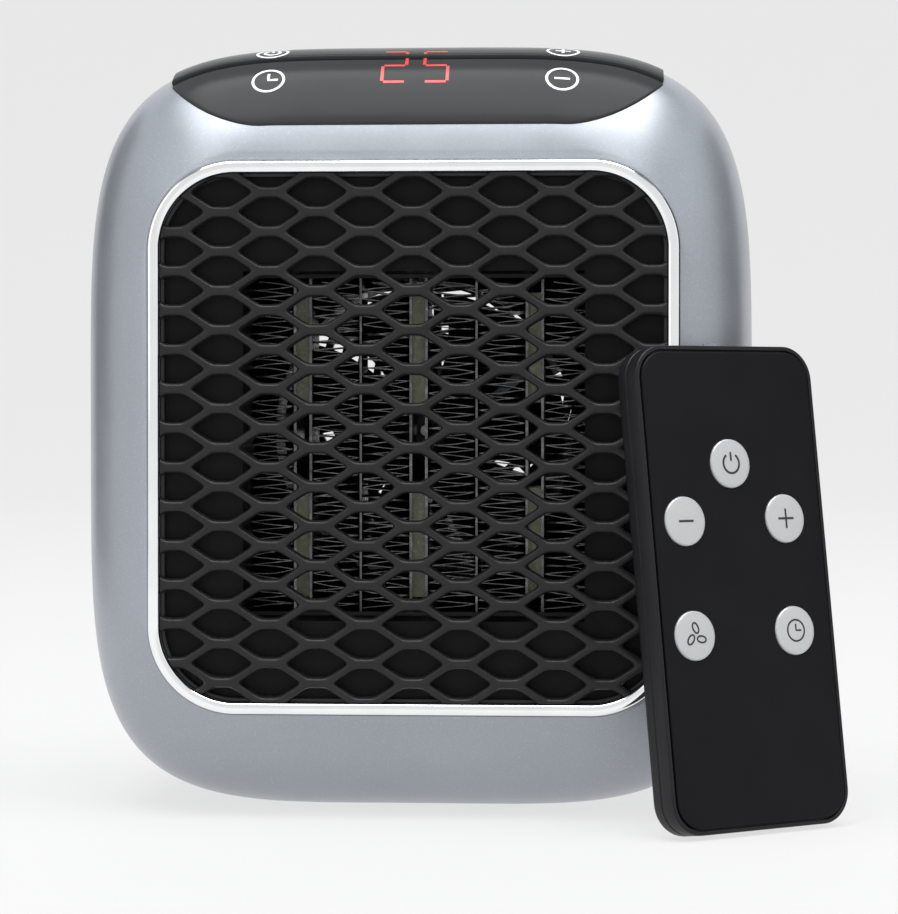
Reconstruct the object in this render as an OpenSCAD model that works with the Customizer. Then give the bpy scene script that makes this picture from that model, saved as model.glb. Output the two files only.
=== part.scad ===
// Plug-in ceramic fan heater with a card remote leaning against its front.
// X is to the right, Y points to the back, Z is up, and z = 0 is the resting surface.

/* [Body] */
// Width of the body at its widest section
body_w = 124; // [122:0.5:128]
// Height of the body at its widest section
body_h = 141; // [139:0.5:145]
// Depth of the body from its front edge to its back cover
body_d = 80; // [80:1:84]
// Wall thickness of the two shells
wall = 2.2; // [1.8:0.1:2.4]
// Height of the flat sole above the resting surface
sole_z = 0.8; // [0.6:0.1:1.2]

/* [Front opening] */
// Width of the front opening
opening_w = 96; // [94:0.5:98]
// Height of the front opening
opening_h = 100; // [98:0.5:102]
// Height of the centre of the front opening
opening_z = 69; // [68:0.5:70]
// Width of the bright trim ring
trim_w = 2; // [1.6:0.1:2.4]

/* [Front grille] */
// Distance between two columns of openings in the same row
cell_pitch_x = 17.3; // [16:0.1:19]
// Distance between two openings in the same column
cell_pitch_z = 7.1; // [6.8:0.1:7.6]
// Width of one opening, from point to point
cell_w = 10.4; // [9.6:0.1:10.8]
// Height of one opening, from flat to flat
cell_h = 4.9; // [4.4:0.1:5.4]
// Length of the flat at the top and bottom of an opening
cell_flat = 3.6; // [3:0.1:4.2]

/* [Heater core] */
// Width of the finned heating core
core_w = 64; // [63:0.5:64]
// Height of the finned heating core, without its end caps
core_h = 62; // [60:0.5:62]
// Height of the centre of the core
core_z = 67.5; // [67:0.5:68]
// Distance between the three heating bars
bar_pitch = 21.6; // [21.2:0.1:21.8]
// Distance between two folds of a fin strip
fin_pitch = 1.6; // [1.4:0.1:2.4]

/* [Fan] */
// Height of the fan axis
fan_z = 70; // [69:0.5:71]
// Radius of the fan over the blade tips
fan_r = 27; // [25:0.5:27.5]
// Number of fan blades
blade_n = 7; // [5:1:9]

/* [Wall plug] */
// Height of the plug's swivel axis
plug_z = 33.5; // [33:0.5:35]
// Distance between the two pins
pin_pitch = 19; // [18:0.5:19]
// Diameter of one pin
pin_d = 4.8; // [4:0.1:4.8]
// Length of the pins in front of the plug's face
pin_l = 19; // [18:0.5:20]

/* [Remote] */
// Width of the remote
remote_w = 39.5; // [39:0.5:42]
// Length of the remote
remote_l = 85.5; // [84:0.5:88]
// Thickness of the remote
remote_t = 6.5; // [6.5:0.1:7]
// Angle that the remote leans back
remote_lean = 8.2; // [6:0.1:9]
// Angle that the remote is turned to the right
remote_yaw = 36.5; // [35:0.1:38]

/* [Hidden] */
$fn = 48;

// Colours
shell_grey = [0.66, 0.70, 0.74];
soft_black = [0.13, 0.13, 0.14];
panel_black = [0.20, 0.20, 0.21];
bright_metal = [0.85, 0.86, 0.87];
fin_metal = [0.62, 0.63, 0.64];
board_green = [0.12, 0.32, 0.20];

// Depth stations, measured along Y
front_y = -body_d / 2;
back_y = body_d / 2;
seam_y = front_y + 0.475 * body_d;
seam_gap = 0.3;
seam_bevel = 0.45;
tongue_l = 2;
tongue_inset = 1.2;
bezel_d = seam_y - seam_gap / 2 - front_y;

// Section shapes
ring_n = 64;
opening_corner = 16;
body_power = 4.5;
body_z = body_h / 2;
rear_taper = 4;
rear_round = 9;
cover_w = 98;
cover_h = 115;
cover_t = 2.5;

// Front opening
trim_proud = 1;
trim_d = 4.2;
trim_gap = 0.1;
grille_t = 3;
grille_inset = trim_gap + trim_w + 0.1;
grille_back_y = front_y + grille_t;
lattice_z = 71.5;
rim_w = 0.7;

// Air duct, which is also the chassis
flange_front_y = front_y + 3.3;
flange_t = 1.8;
duct_back_y = -7;
duct_wall = 1.7;
pocket_y = -22;
window_w = 62;
window_h = 63.5;
cap_h = 2.9;
pocket_w = core_w + 0.6;
pocket_h = core_h + 2 * cap_h + 0.8;
duct_w = pocket_w + 2 * duct_wall;
duct_h = pocket_h + 2 * duct_wall;
chassis_w = 84;
chassis_h = 106;
chassis_t = 3;
post_r = 3.5;
screw_spots = [[-32, 22.5], [32, 22.5], [-34, 116.5], [34, 116.5]];

// Heating core
core_front_y = pocket_y + 0.2;
core_d = 14;
stone_t = 2.4;
stone_h = 20.4;
stone_offset = 18.1;
plate_t = 0.5;
divider_t = 0.4;
fin_t = 0.22;
fin_gap = 0.1;
tab_w = 6.3;
tab_h = 10;

// Fan and motor
shroud_r = fan_r + 1.4;
shroud_wall = 2;
shroud_front_y = -6.8;
shroud_back_y = 9;
hub_r = 8;
motor_r = 12;
motor_front_y = 10.9;
motor_l = 20;
shaft_r = 1;
running_gap = 0.06;
blade_tilt = 35;
blade_chord = 13;

// Back cover pieces
intake_z = 80;
intake_r = 28.2;
rocker_x = 29;
rocker_z = 36;
rocker_pivot_y = 36.5;
rocker_tilt = 8;
journal_r = 15;
nose_r = 18.5;
nose_h = 26;
nose_front_y = 40.6;
nose_back_y = 56;
stop_angle = 100;
pin_root_r = pin_d / 2 - 0.3;
pin_start_y = 31;

// Control panel, given by its place on the front shell's slope
panel_low = 0.30;
panel_tip = 0.88;
panel_back = 0.55;
panel_straight = 27.6;
panel_end = 17.8;
panel_curve = 1.8;
panel_reach = 0.985;
panel_lift = 0.25;
panel_proud = 0.95;
slope_y = -31.1;
slope_z = 135.5;
slope_tilt = 43.6;
key_x = 26.8;
key_low = -2.9;
key_high = 6;

// Remote, in its own frame: x across, y up its length, z out of its face
remote_x = 59.1;
remote_y = -48.6;
remote_corner = 6;
case_wall = 0.8;
face_t = 1;
face_gap = 0.3;
button_r = 4.35;
button_low = 5.1;
tray_w = 23.6;
tray_t = 2.7;
tray_l = 25;
cell_r = 10;
power_spot = [-1, 64.4];
minus_spot = [-12.1, 54.4];
plus_spot = [10.3, 54.4];
speed_spot = [-12.1, 34.4];
timer_spot = [10.3, 34.4];
button_spots = [power_spot, minus_spot, plus_spot, speed_spot, timer_spot];

// ---------------------------------------------------------------- section helpers

// Points [x, z] round an outline of straight sides and superellipse corners. half is
// [half width, half height], corner is how far a corner reaches along each side.
function outline(half, corner, power, count = ring_n) = [
    for (i = [0:count - 1])
        let (
            c = cos(360 * i / count),
            s = sin(360 * i / count)
        )
        [
            sign(c) * (half[0] - corner[0] + corner[0] * pow(abs(c), 2 / power)),
            sign(s) * (half[1] - corner[1] + corner[1] * pow(abs(s), 2 / power))
        ]
];

// One ring of a shell: [y, half size, corner size, centre height, power, lowest z]
function ring_points(r) = [
    for (p = outline(r[1], r[2], r[4])) [p[0], r[0], max(r[5], r[3] + p[1])]
];

// How far the front shell has swelled from its opening to its widest section, 0 to 1
function swell(t) = pow(1 - pow(1 - t, 5), 0.95);
function swell_depth(g) = 1 - pow(1 - pow(g, 1 / 0.95), 0.2);

function blend(from, to, g) = from + g * (to - from);
function both(v) = [v, v];

function front_ring(t, inset) =
    let (
        g = swell(t),
        body_half = [body_w / 2, body_h / 2]
    )
    [
        front_y + bezel_d * t,
        blend([opening_w / 2, opening_h / 2], body_half, g) - both(inset),
        blend(both(opening_corner), body_half, g) - both(inset),
        blend(opening_z, body_z, g),
        blend(2, body_power, g),
        sole_z + inset
    ];

// The rear shell and the cover are full superellipses: the corners fill each side
function oval_ring(y, half, lowest) = [y, half, half, body_z, body_power, lowest];

function rear_ring(y, inset) =
    let (
        s = (y - seam_y) / (back_y - seam_y),
        narrow = rear_taper * s * s + inset
    )
    oval_ring(y, [body_w / 2 - narrow, body_h / 2 - narrow], sole_z + inset);

function flat_ring(y, w, h) = oval_ring(y, [w / 2, h / 2], 0);

// The same ring at another y
function moved(r, y) = [y, r[1], r[2], r[3], r[4], r[5]];

// A closed tube through the rings: outside from front to back, then inside back again
module shell(rings) {
    count = len(rings);
    points = [for (r = rings) each ring_points(r)];
    faces = [
        for (k = [0:count - 1], i = [0:ring_n - 1])
            let (
                here = k * ring_n,
                next = ((k + 1) % count) * ring_n,
                j = (i + 1) % ring_n
            )
            each [
                [here + i, here + j, next + j],
                [here + i, next + j, next + i]
            ]
    ];
    polyhedron(points = points, faces = faces, convexity = 8);
}

// A flat plate of the 2D shape (x, z) whose back face is at y
module plate_y(y, t) {
    translate([0, y, 0])
        rotate([90, 0, 0])
            linear_extrude(t)
                children();
}

// The shape of the front opening, drawn in by inset
module opening_2d(inset) {
    half = [opening_w / 2 - inset, opening_h / 2 - inset];
    translate([0, opening_z])
        polygon(outline(half, both(opening_corner - inset), 2));
}

module cover_2d() {
    half = [cover_w / 2, cover_h / 2];
    translate([0, body_z])
        polygon(outline(half, half, body_power));
}

module box_2d(w, h, z) {
    translate([-w / 2, z - h / 2])
        square([w, h]);
}

// A rectangle with round corners, centred
module round_box_2d(w, h, r) {
    square([w - 2 * r, h], center = true);
    square([w, h - 2 * r], center = true);
    for (sx = [-1, 1], sy = [-1, 1])
        translate([sx * (w / 2 - r), sy * (h / 2 - r)])
            circle(r);
}

// A cylinder along Y from y0 to y1
module rod_y(r, y0, y1, x = 0, z = 0) {
    translate([x, y1, z])
        rotate([90, 0, 0])
            cylinder(r = r, h = y1 - y0);
}

// ---------------------------------------------------------------- housing

module front_bezel() {
    outer_steps = [0, 0.03, 0.07, 0.12, 0.18, 0.25, 0.34, 0.46, 0.62, 0.8, 0.985];
    inner_steps = [0.8, 0.55, 0.34, 0.21];
    rebate_end = 1 - 1.25 * tongue_l / bezel_d;
    rings = concat(
        [for (t = outer_steps) front_ring(t, 0)],
        [
            front_ring(1, seam_bevel),
            front_ring(1, tongue_inset - 0.1),
            front_ring(rebate_end, tongue_inset - 0.1),
            front_ring(rebate_end, wall)
        ],
        [for (t = inner_steps) front_ring(t, wall)],
        [moved(front_ring(0, 0), front_y + 4)]
    );
    color(shell_grey)
        difference() {
            shell(rings);
            on_slope()
                translate([-35, -6.4, -7])
                    cube([70, 15.4, 10]);
        }
}

module rear_housing() {
    start_y = seam_y + seam_gap / 2;
    round_y = back_y - rear_round;
    rim_low_y = back_y - cover_t - 0.2;
    outer_steps = [start_y + seam_bevel, 6, 14, 22, 27, round_y];
    inner_steps = [27, 16, start_y - tongue_l];
    round_steps = [20, 40, 60, 75, 90];
    rings = concat(
        [rear_ring(start_y, seam_bevel)],
        [for (y = outer_steps) rear_ring(y, 0)],
        [
            for (a = round_steps)
                moved(rear_ring(round_y, rear_round * (1 - cos(a))), round_y + rear_round * sin(a))
        ],
        [
            flat_ring(back_y, cover_w + 0.2, cover_h + 0.2),
            flat_ring(rim_low_y, cover_w + 0.2, cover_h + 0.2),
            flat_ring(rim_low_y, cover_w - 5, cover_h - 5),
            flat_ring(rim_low_y - 2, cover_w - 5, cover_h - 5),
            rear_ring(round_y + 1.5, wall + 0.6)
        ],
        [for (y = inner_steps) rear_ring(y, wall)],
        [
            rear_ring(start_y - tongue_l, tongue_inset),
            rear_ring(start_y, tongue_inset)
        ]
    );
    color(shell_grey)
        shell(rings);
}

module rear_cover() {
    color(shell_grey) {
        difference() {
            plate_y(back_y, cover_t)
                difference() {
                    cover_2d();
                    translate([0, plug_z])
                        circle(journal_r + 0.08);
                    translate([0, intake_z])
                        circle(intake_r);
                    translate([rocker_x, 0])
                        box_2d(13.4, 19.4, rocker_z);
                    for (p = screw_spots)
                        translate(p)
                            circle(1.6);
                }
            for (p = screw_spots)
                rod_y(3.1, back_y - 1.2, back_y + 1, p[0], p[1]);
        }
        for (side = [-1, 1])
            translate([0, back_y - cover_t, plug_z])
                rotate([0, side * stop_angle, 0])
                    translate([-1.5, -3.6, 17])
                        cube([3, 3.6, 2.6]);
    }
}

module intake_grille() {
    bars = [4.6:3.6:24.4];
    color(soft_black)
        plate_y(back_y - 0.2, 2.2)
            translate([0, intake_z]) {
                circle(3);
                for (r = bars)
                    difference() {
                        circle(r + 1.5);
                        circle(r);
                    }
                difference() {
                    circle(intake_r - 0.1);
                    circle(intake_r - 2);
                }
                for (a = [0:45:135])
                    rotate(a)
                        square([2 * intake_r - 2, 1.6], center = true);
            }
}

module base_pad() {
    color(soft_black)
        translate([0, -2, 0])
            linear_extrude(sole_z)
                round_box_2d(40, 28, 5);
}

module case_screws() {
    color(bright_metal)
        for (p = screw_spots)
            difference() {
                union() {
                    rod_y(2.75, back_y - 1.15, back_y - 0.1, p[0], p[1]);
                    rod_y(1.2, back_y - 14, back_y - 1.15, p[0], p[1]);
                }
                for (a = [0, 90])
                    translate([p[0], back_y, p[1]])
                        rotate([0, a, 0])
                            cube([3, 1.2, 0.6], center = true);
            }
}

// ---------------------------------------------------------------- front opening

module chrome_trim() {
    color(bright_metal)
        plate_y(front_y - trim_proud + trim_d, trim_d)
            difference() {
                opening_2d(trim_gap);
                opening_2d(trim_gap + trim_w);
            }
}

// One opening of the lattice: a diamond with flat top and bottom
module cell() {
    polygon([
        [-cell_w / 2, 0], [-cell_flat / 2, -cell_h / 2], [cell_flat / 2, -cell_h / 2],
        [cell_w / 2, 0], [cell_flat / 2, cell_h / 2], [-cell_flat / 2, cell_h / 2]
    ]);
}

module front_grille() {
    columns = 6;
    rows = 8;
    color(soft_black)
        plate_y(grille_back_y, grille_t)
            difference() {
                opening_2d(grille_inset);
                intersection() {
                    opening_2d(grille_inset + rim_w);
                    for (i = [-columns:columns], j = [-rows:rows])
                        let (half = (i % 2 == 0) ? 0 : 0.5)
                        translate([i * cell_pitch_x / 2, lattice_z + (j + half) * cell_pitch_z])
                            cell();
                }
            }
}

module air_duct() {
    core_gap_z = core_z - pocket_h / 2;
    color(soft_black)
        difference() {
            union() {
                plate_y(flange_front_y + flange_t, flange_t)
                    opening_2d(0.2);
                plate_y(duct_back_y, duct_back_y - flange_front_y - flange_t)
                    box_2d(duct_w, duct_h, core_z);
                plate_y(duct_back_y, chassis_t)
                    box_2d(chassis_w, chassis_h, opening_z);
                for (p = screw_spots)
                    rod_y(post_r, duct_back_y - chassis_t, back_y - cover_t - 0.1, p[0], p[1]);
            }
            plate_y(pocket_y + 1, 30)
                box_2d(window_w, window_h, core_z);
            translate([-pocket_w / 2, pocket_y, core_gap_z])
                cube([pocket_w, 30, pocket_h]);
            for (p = screw_spots)
                rod_y(1.2, back_y - 16, back_y, p[0], p[1]);
            for (x = bar_spots)
                translate([x, core_mid_y, core_z + duct_h / 2])
                    cube([2 * plate_offset + 1.5, tab_w + 0.6, 3 * duct_wall], center = true);
        }
}

// ---------------------------------------------------------------- control panel

// Frame on the front slope under the panel: z out of the surface, y up the slope
module on_slope() {
    translate([0, slope_y, slope_z])
        rotate([slope_tilt, 0, 0])
            children();
}

// Height of the front shell's top at x, at depth share t
function crown(x, t) =
    let (
        r = front_ring(t, 0),
        d = max(0, abs(x) - r[1][0] + r[2][0]) / r[2][0]
    )
    r[3] + r[1][1] - r[2][1] * (1 - pow(1 - pow(d, r[4]), 1 / r[4]));

function crown_point(x, t) = [x, front_y + bezel_d * t, crown(x, t)];

// A point lifted off the shell by a distance, along the shell's own normal
function lifted(x, t, lift) =
    let (
        step = 0.004,
        across = crown_point(x + 0.1, t) - crown_point(x - 0.1, t),
        along = crown_point(x, t + step) - crown_point(x, t - step),
        n = cross(across, along)
    )
    crown_point(x, t) + lift * n / norm(n);

// Depth shares of the panel's front and back edges at x
function panel_edges(x) =
    let (
        d = max(0, abs(x) - panel_straight) / panel_end,
        rise = pow(d, panel_curve),
        tip = swell_depth(panel_tip),
        low = swell_depth(panel_low + (panel_tip - panel_low) * rise)
    )
    [low, panel_back + (tip - panel_back) * rise];

module control_panel() {
    columns = 36;
    rows = 10;
    half = panel_straight + panel_end * panel_reach;
    xs = [for (i = [0:columns]) half * sin(90 * (2 * i / columns - 1))];
    layers = [panel_proud, panel_lift];
    points = [
        for (lift = layers, x = xs, j = [0:rows])
            let (e = panel_edges(x))
            lifted(x, e[0] + (e[1] - e[0]) * j / rows, lift)
    ];
    stride = rows + 1;
    under = (columns + 1) * stride;
    function quad(a, b, c, d) = [[a, b, c], [a, c, d]];
    faces = concat(
        [
            for (i = [0:columns - 1], j = [0:rows - 1])
                let (a = i * stride + j)
                each quad(a, a + 1, a + stride + 1, a + stride)
        ],
        [
            for (i = [0:columns - 1], j = [0:rows - 1])
                let (a = under + i * stride + j)
                each quad(a, a + stride, a + stride + 1, a + 1)
        ],
        [
            for (i = [0:columns - 1], j = [0, rows])
                let (
                    a = i * stride + j,
                    b = a + stride
                )
                each (j == 0 ? quad(a, b, b + under, a + under) : quad(b, a, a + under, b + under))
        ],
        [
            for (i = [0, columns], j = [0:rows - 1])
                let (
                    a = i * stride + j,
                    b = a + 1
                )
                each (i == 0 ? quad(b, a, a + under, b + under) : quad(a, b, b + under, a + under))
        ]
    );
    color(panel_black)
        polyhedron(points = points, faces = faces, convexity = 6);
}

module display_pcb() {
    color(board_green)
        on_slope()
            translate([-34.5, -6, -8.1])
                cube([69, 14.6, 1.6]);
}

module led_display() {
    color([0.25, 0.05, 0.05])
        on_slope()
            translate([-11, -5.4, -6.5])
                cube([22, 11, 5.2]);
}

module touch_springs() {
    color(bright_metal)
        on_slope()
            for (x = [-key_x, key_x], y = [key_low, key_high])
                translate([x, y, -6.5])
                    difference() {
                        cylinder(r = 2.2, h = 4.2);
                        translate([0, 0, 0.5])
                            cylinder(r = 1.6, h = 5);
                    }
}

module ir_receiver() {
    color(soft_black)
        on_slope()
            translate([-20, -2, -6.5]) {
                cube([6, 6, 3.4]);
                translate([3, 3, 3.4])
                    sphere(r = 1.4);
            }
}

// ---------------------------------------------------------------- heating core

bar_spots = [-bar_pitch, 0, bar_pitch];
plate_offset = stone_t / 2 + plate_t / 2;
bar_edge = stone_t / 2 + plate_t + fin_gap;
core_mid_y = core_front_y + core_d / 2;

module ptc_stones() {
    color([0.50, 0.51, 0.42])
        for (x = bar_spots, side = [-1, 1])
            translate([x, core_mid_y, core_z + side * stone_offset])
                cube([stone_t, core_d - 1, stone_h], center = true);
}

module electrode_plates() {
    color(fin_metal)
        for (x = bar_spots, side = [-1, 1])
            translate([x + side * plate_offset, core_mid_y, core_z]) {
                cube([plate_t, core_d, core_h], center = true);
                translate([-plate_t / 2, -tab_w / 2, core_h / 2])
                    cube([plate_t, tab_w, tab_h]);
            }
}

// Edges of the six fin strips, from left to right
fin_spans = [
    [-core_w / 2 + divider_t + fin_gap, -bar_pitch - bar_edge],
    [-bar_pitch + bar_edge, -bar_pitch / 2 - divider_t / 2 - fin_gap],
    [-bar_pitch / 2 + divider_t / 2 + fin_gap, -bar_edge],
    [bar_edge, bar_pitch / 2 - divider_t / 2 - fin_gap],
    [bar_pitch / 2 + divider_t / 2 + fin_gap, bar_pitch - bar_edge],
    [bar_pitch + bar_edge, core_w / 2 - divider_t - fin_gap]
];

// Folded strip between two upright plates
module fin_strip(x0, x1) {
    folds = floor((core_h - 1) / (fin_pitch / 2));
    low = core_z - folds * fin_pitch / 4;
    bite = fin_t * (x1 - x0) / (fin_pitch / 2 + fin_t);
    left = [
        for (i = [0:folds])
            [i % 2 == 0 ? x0 : x1 - bite, low + i * fin_pitch / 2]
    ];
    right = [
        for (i = [folds:-1:0])
            [i % 2 == 0 ? x0 + bite : x1, low + i * fin_pitch / 2]
    ];
    plate_y(core_front_y + core_d - 0.2, core_d - 0.4)
        polygon(concat(left, right));
}

module ptc_fins() {
    color(fin_metal)
        for (s = fin_spans)
            fin_strip(s[0], s[1]);
}

module divider_plates() {
    edge = core_w / 2 - divider_t / 2;
    color(fin_metal)
        for (x = [-edge, -bar_pitch / 2, bar_pitch / 2, edge])
            translate([x, core_mid_y, core_z])
                cube([divider_t, core_d, core_h], center = true);
}

module core_end_caps() {
    slot = plate_t + 0.2;
    color(soft_black)
        for (side = [-1, 1])
            difference() {
                translate([0, core_mid_y, core_z + side * (core_h / 2 + 0.1 + cap_h / 2)])
                    cube([core_w, core_d, cap_h], center = true);
                for (x = bar_spots, edge = [-1, 1])
                    translate([x + edge * plate_offset, core_mid_y, core_z + core_h / 2])
                        cube([slot, tab_w + 0.4, 3 * cap_h], center = true);
            }
}

// Sits on top of the duct, between two bars
module thermostat() {
    top = core_z + duct_h / 2 + 0.1;
    color([0.72, 0.66, 0.55])
        translate([-bar_pitch / 2, core_mid_y - 3.2, top]) {
            cylinder(r = 7, h = 5);
            translate([-8, -4, 0])
                cube([16, 8, 0.6]);
            for (side = [-1, 1])
                translate([side * 4.5 - 0.4, -3, 5])
                    cube([0.8, 6, 7]);
        }
}

// Lies across the top of the duct, in front of the electrode tabs
module thermal_fuse() {
    top = core_z + duct_h / 2 + 0.1;
    color(bright_metal)
        translate([bar_pitch / 2 - 5, core_front_y + 1.2, top + 2]) {
            rotate([0, 90, 0])
                cylinder(r = 2, h = 10);
            translate([-8, 0, 0])
                rotate([0, 90, 0])
                    cylinder(r = 0.45, h = 26);
        }
}

// ---------------------------------------------------------------- fan

module fan_shroud() {
    color(soft_black) {
        plate_y(shroud_front_y + 2, 2)
            difference() {
                box_2d(76, 76, fan_z);
                translate([0, fan_z])
                    circle(shroud_r);
            }
        plate_y(shroud_back_y, shroud_back_y - shroud_front_y - 2)
            translate([0, fan_z])
                difference() {
                    circle(shroud_r + shroud_wall);
                    circle(shroud_r);
                }
    }
}

module motor_bracket() {
    color(fin_metal)
        plate_y(motor_front_y - 0.1, 1.6)
            translate([0, fan_z])
                difference() {
                    union() {
                        circle(motor_r + 1);
                        for (a = [30, 150, 270])
                            rotate(a)
                                translate([0, -3])
                                    square([shroud_r + shroud_wall, 6]);
                    }
                    circle(3.3);
                    for (side = [-1, 1])
                        translate([side * 8, 0])
                            circle(1.4);
                }
}

module fan_motor() {
    color([0.55, 0.56, 0.58])
        difference() {
            union() {
                rod_y(motor_r, motor_front_y, motor_front_y + motor_l, 0, fan_z);
                rod_y(3.1, motor_front_y - 1.5, motor_front_y, 0, fan_z);
                for (side = [-1, 1])
                    translate([side * 6 - 1, motor_front_y + motor_l, fan_z - 0.3])
                        cube([2, 4, 0.6]);
            }
            rod_y(shaft_r + running_gap, motor_front_y - 2, motor_front_y + 18, 0, fan_z);
            for (side = [-1, 1])
                rod_y(1.3, motor_front_y - 1, motor_front_y + 4, side * 8, fan_z);
        }
}

module motor_screws() {
    color(bright_metal)
        for (side = [-1, 1]) {
            rod_y(1.2, motor_front_y - 1.7, motor_front_y + 3.5, side * 8, fan_z);
            rod_y(2.2, motor_front_y - 3, motor_front_y - 1.7, side * 8, fan_z);
        }
}

module fan_impeller() {
    blade_l = fan_r - hub_r + 0.3;
    color([0.30, 0.31, 0.33])
        difference() {
            union() {
                rod_y(hub_r, -2.5, 6.5, 0, fan_z);
                for (k = [0:blade_n - 1])
                    translate([0, 2, fan_z])
                        rotate([0, 360 * k / blade_n, 0])
                            translate([hub_r - 0.5 + blade_l / 2, 0, 0])
                                rotate([blade_tilt, 0, 0])
                                    cube([blade_l, 1.2, blade_chord], center = true);
            }
            rod_y(shaft_r, -1, 7, 0, fan_z);
            difference() {
                rod_y(hub_r - 1.4, 0.5, 7, 0, fan_z);
                rod_y(2.6, -1, 8, 0, fan_z);
            }
        }
}

module motor_shaft() {
    color(bright_metal)
        rod_y(shaft_r, -1, motor_front_y + 17, 0, fan_z);
}

// ---------------------------------------------------------------- power electronics

board_low = 7;
board_top = board_low + 1.6;

module power_pcb() {
    color(board_green)
        difference() {
            translate([-36, -4, board_low])
                cube([72, 30, board_top - board_low]);
            for (x = [-33, 33], y = [-1, 23])
                translate([x, y, board_low - 1])
                    cylinder(r = 1.6, h = 4);
        }
}

module relay() {
    color([0.15, 0.30, 0.60])
        translate([-31, 2, board_top])
            cube([19, 15, 10]);
}

module filter_capacitor() {
    color([0.75, 0.60, 0.15])
        translate([-9, 2, board_top])
            cube([17, 8, 13]);
}

module terminal_block() {
    color([0.20, 0.45, 0.30])
        translate([9.4, 2, board_top])
            difference() {
                cube([20, 10, 11]);
                for (i = [0:3])
                    translate([2.5 + 5 * i, 5, 5])
                        cylinder(r = 1.7, h = 7);
            }
}

// ---------------------------------------------------------------- rocker switch

module rocker_switch_body() {
    color(soft_black)
        difference() {
            union() {
                translate([rocker_x - 6.5, 26, rocker_z - 9.5])
                    cube([13, 15.2, 19]);
                translate([rocker_x - 7.5, back_y + 0.05, rocker_z - 10.5])
                    cube([15, 1.15, 21]);
            }
            translate([rocker_x - 5.2, 31, rocker_z - 8.9])
                cube([10.4, 11, 17.8]);
            translate([rocker_x - 6.2, rocker_pivot_y, rocker_z])
                rotate([0, 90, 0])
                    cylinder(r = 1 + running_gap, h = 12.4);
        }
}

// The button as drawn is pressed at its lower half
module rocker_button() {
    profile = [[-3.5, -5], [4.6, -7.2], [3.7, 0], [4.6, 7.2], [-3.5, 5]];
    color(soft_black)
        translate([rocker_x, rocker_pivot_y, rocker_z])
            rotate([rocker_tilt, 0, 0])
                union() {
                    rotate([90, 0, 90])
                        translate([0, 0, -5])
                            linear_extrude(10)
                                polygon(profile);
                    translate([-6, 0, 0])
                        rotate([0, 90, 0])
                            cylinder(r = 1, h = 12);
                }
}

// ---------------------------------------------------------------- wall plug

module plug_swivel() {
    color(soft_black)
        difference() {
            union() {
                rod_y(journal_r, 36, nose_front_y, 0, plug_z);
                plate_y(nose_back_y, nose_back_y - nose_front_y)
                    intersection() {
                        translate([0, plug_z])
                            circle(nose_r);
                        box_2d(2 * nose_r, nose_h, plug_z);
                    }
            }
            for (side = [-1, 1])
                rod_y(pin_root_r, 35, nose_back_y + 1, side * pin_pitch / 2, plug_z);
        }
}

// Each pin has a thinner root inside the plug, so that its shoulder sits on the plug's face
module plug_pins() {
    tip = 1;
    r = pin_d / 2;
    root_l = nose_back_y - pin_start_y;
    color(bright_metal)
        for (side = [-1, 1])
            translate([side * pin_pitch / 2, pin_start_y, plug_z])
                rotate([-90, 0, 0])
                    rotate_extrude()
                        polygon([
                            [0, 0], [pin_root_r, 0], [pin_root_r, root_l], [r, root_l],
                            [r, root_l + pin_l - tip], [r - tip, root_l + pin_l], [0, root_l + pin_l]
                        ]);
}

module plug_retainer() {
    color([0.85, 0.84, 0.80])
        plate_y(35.9, 2.3)
            translate([0, plug_z])
                difference() {
                    union() {
                        circle(16.2);
                        translate([-1.5, 15])
                            square([3, 4]);
                    }
                    for (side = [-1, 1])
                        translate([side * pin_pitch / 2, 0])
                            circle(pin_root_r);
                }
}

// ---------------------------------------------------------------- remote

// Places the remote's own frame where it leans beside the front grille
module on_remote() {
    translate([remote_x, remote_y, 0])
        rotate([0, 0, remote_yaw])
            rotate([90 - remote_lean, 0, 0])
                children();
}

module card_2d(inset) {
    translate([0, remote_l / 2])
        round_box_2d(remote_w - 2 * inset, remote_l - 2 * inset, remote_corner - inset);
}

module slab(z0, z1) {
    translate([0, 0, z0])
        linear_extrude(z1 - z0)
            children();
}

module remote_case() {
    pocket_low = remote_t - face_t - 0.1;
    color(soft_black)
        on_remote()
            difference() {
                slab(0, remote_t - 0.3)
                    card_2d(0);
                slab(1.2, remote_t)
                    card_2d(case_wall + 1);
                slab(pocket_low, remote_t)
                    card_2d(case_wall);
                translate([-tray_w / 2 - 0.2, -1, 1.3])
                    cube([tray_w + 0.4, 4, tray_t + 0.3]);
                translate([0, remote_l + 1, 3])
                    rotate([90, 0, 0])
                        cylinder(r = 1.6, h = 4);
            }
}

module remote_face() {
    color(soft_black)
        on_remote()
            slab(remote_t - face_t, remote_t)
                difference() {
                    card_2d(case_wall + face_gap);
                    for (p = button_spots)
                        translate(p)
                            circle(button_r + 0.1);
                }
}

module remote_pcb() {
    color(board_green)
        on_remote()
            translate([-17, 29, 3.8])
                cube([34, 48, 0.8]);
}

module dome_switches() {
    color(bright_metal)
        on_remote()
            for (p = button_spots)
                translate([p[0], p[1], 4.6])
                    cylinder(r = 3.2, h = 0.15);
}

module remote_ir_led() {
    color([0.35, 0.30, 0.40])
        on_remote()
            translate([0, remote_l + 0.8, 3])
                rotate([90, 0, 0])
                    cylinder(r = 1.5, h = 7);
}

module battery_contact() {
    color(bright_metal)
        on_remote()
            translate([-2.5, 10, 4.3])
                cube([5, 18.6, 0.3]);
}

module battery_tray() {
    color(soft_black)
        on_remote()
            difference() {
                translate([-tray_w / 2, 0.1, 1.4])
                    cube([tray_w, tray_l, tray_t]);
                translate([0, tray_l / 2 + 0.8, 0])
                    cylinder(r = cell_r + 0.1, h = 6);
                translate([-6, -1, 1])
                    cube([12, 1.7, 0.9]);
            }
}

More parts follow.
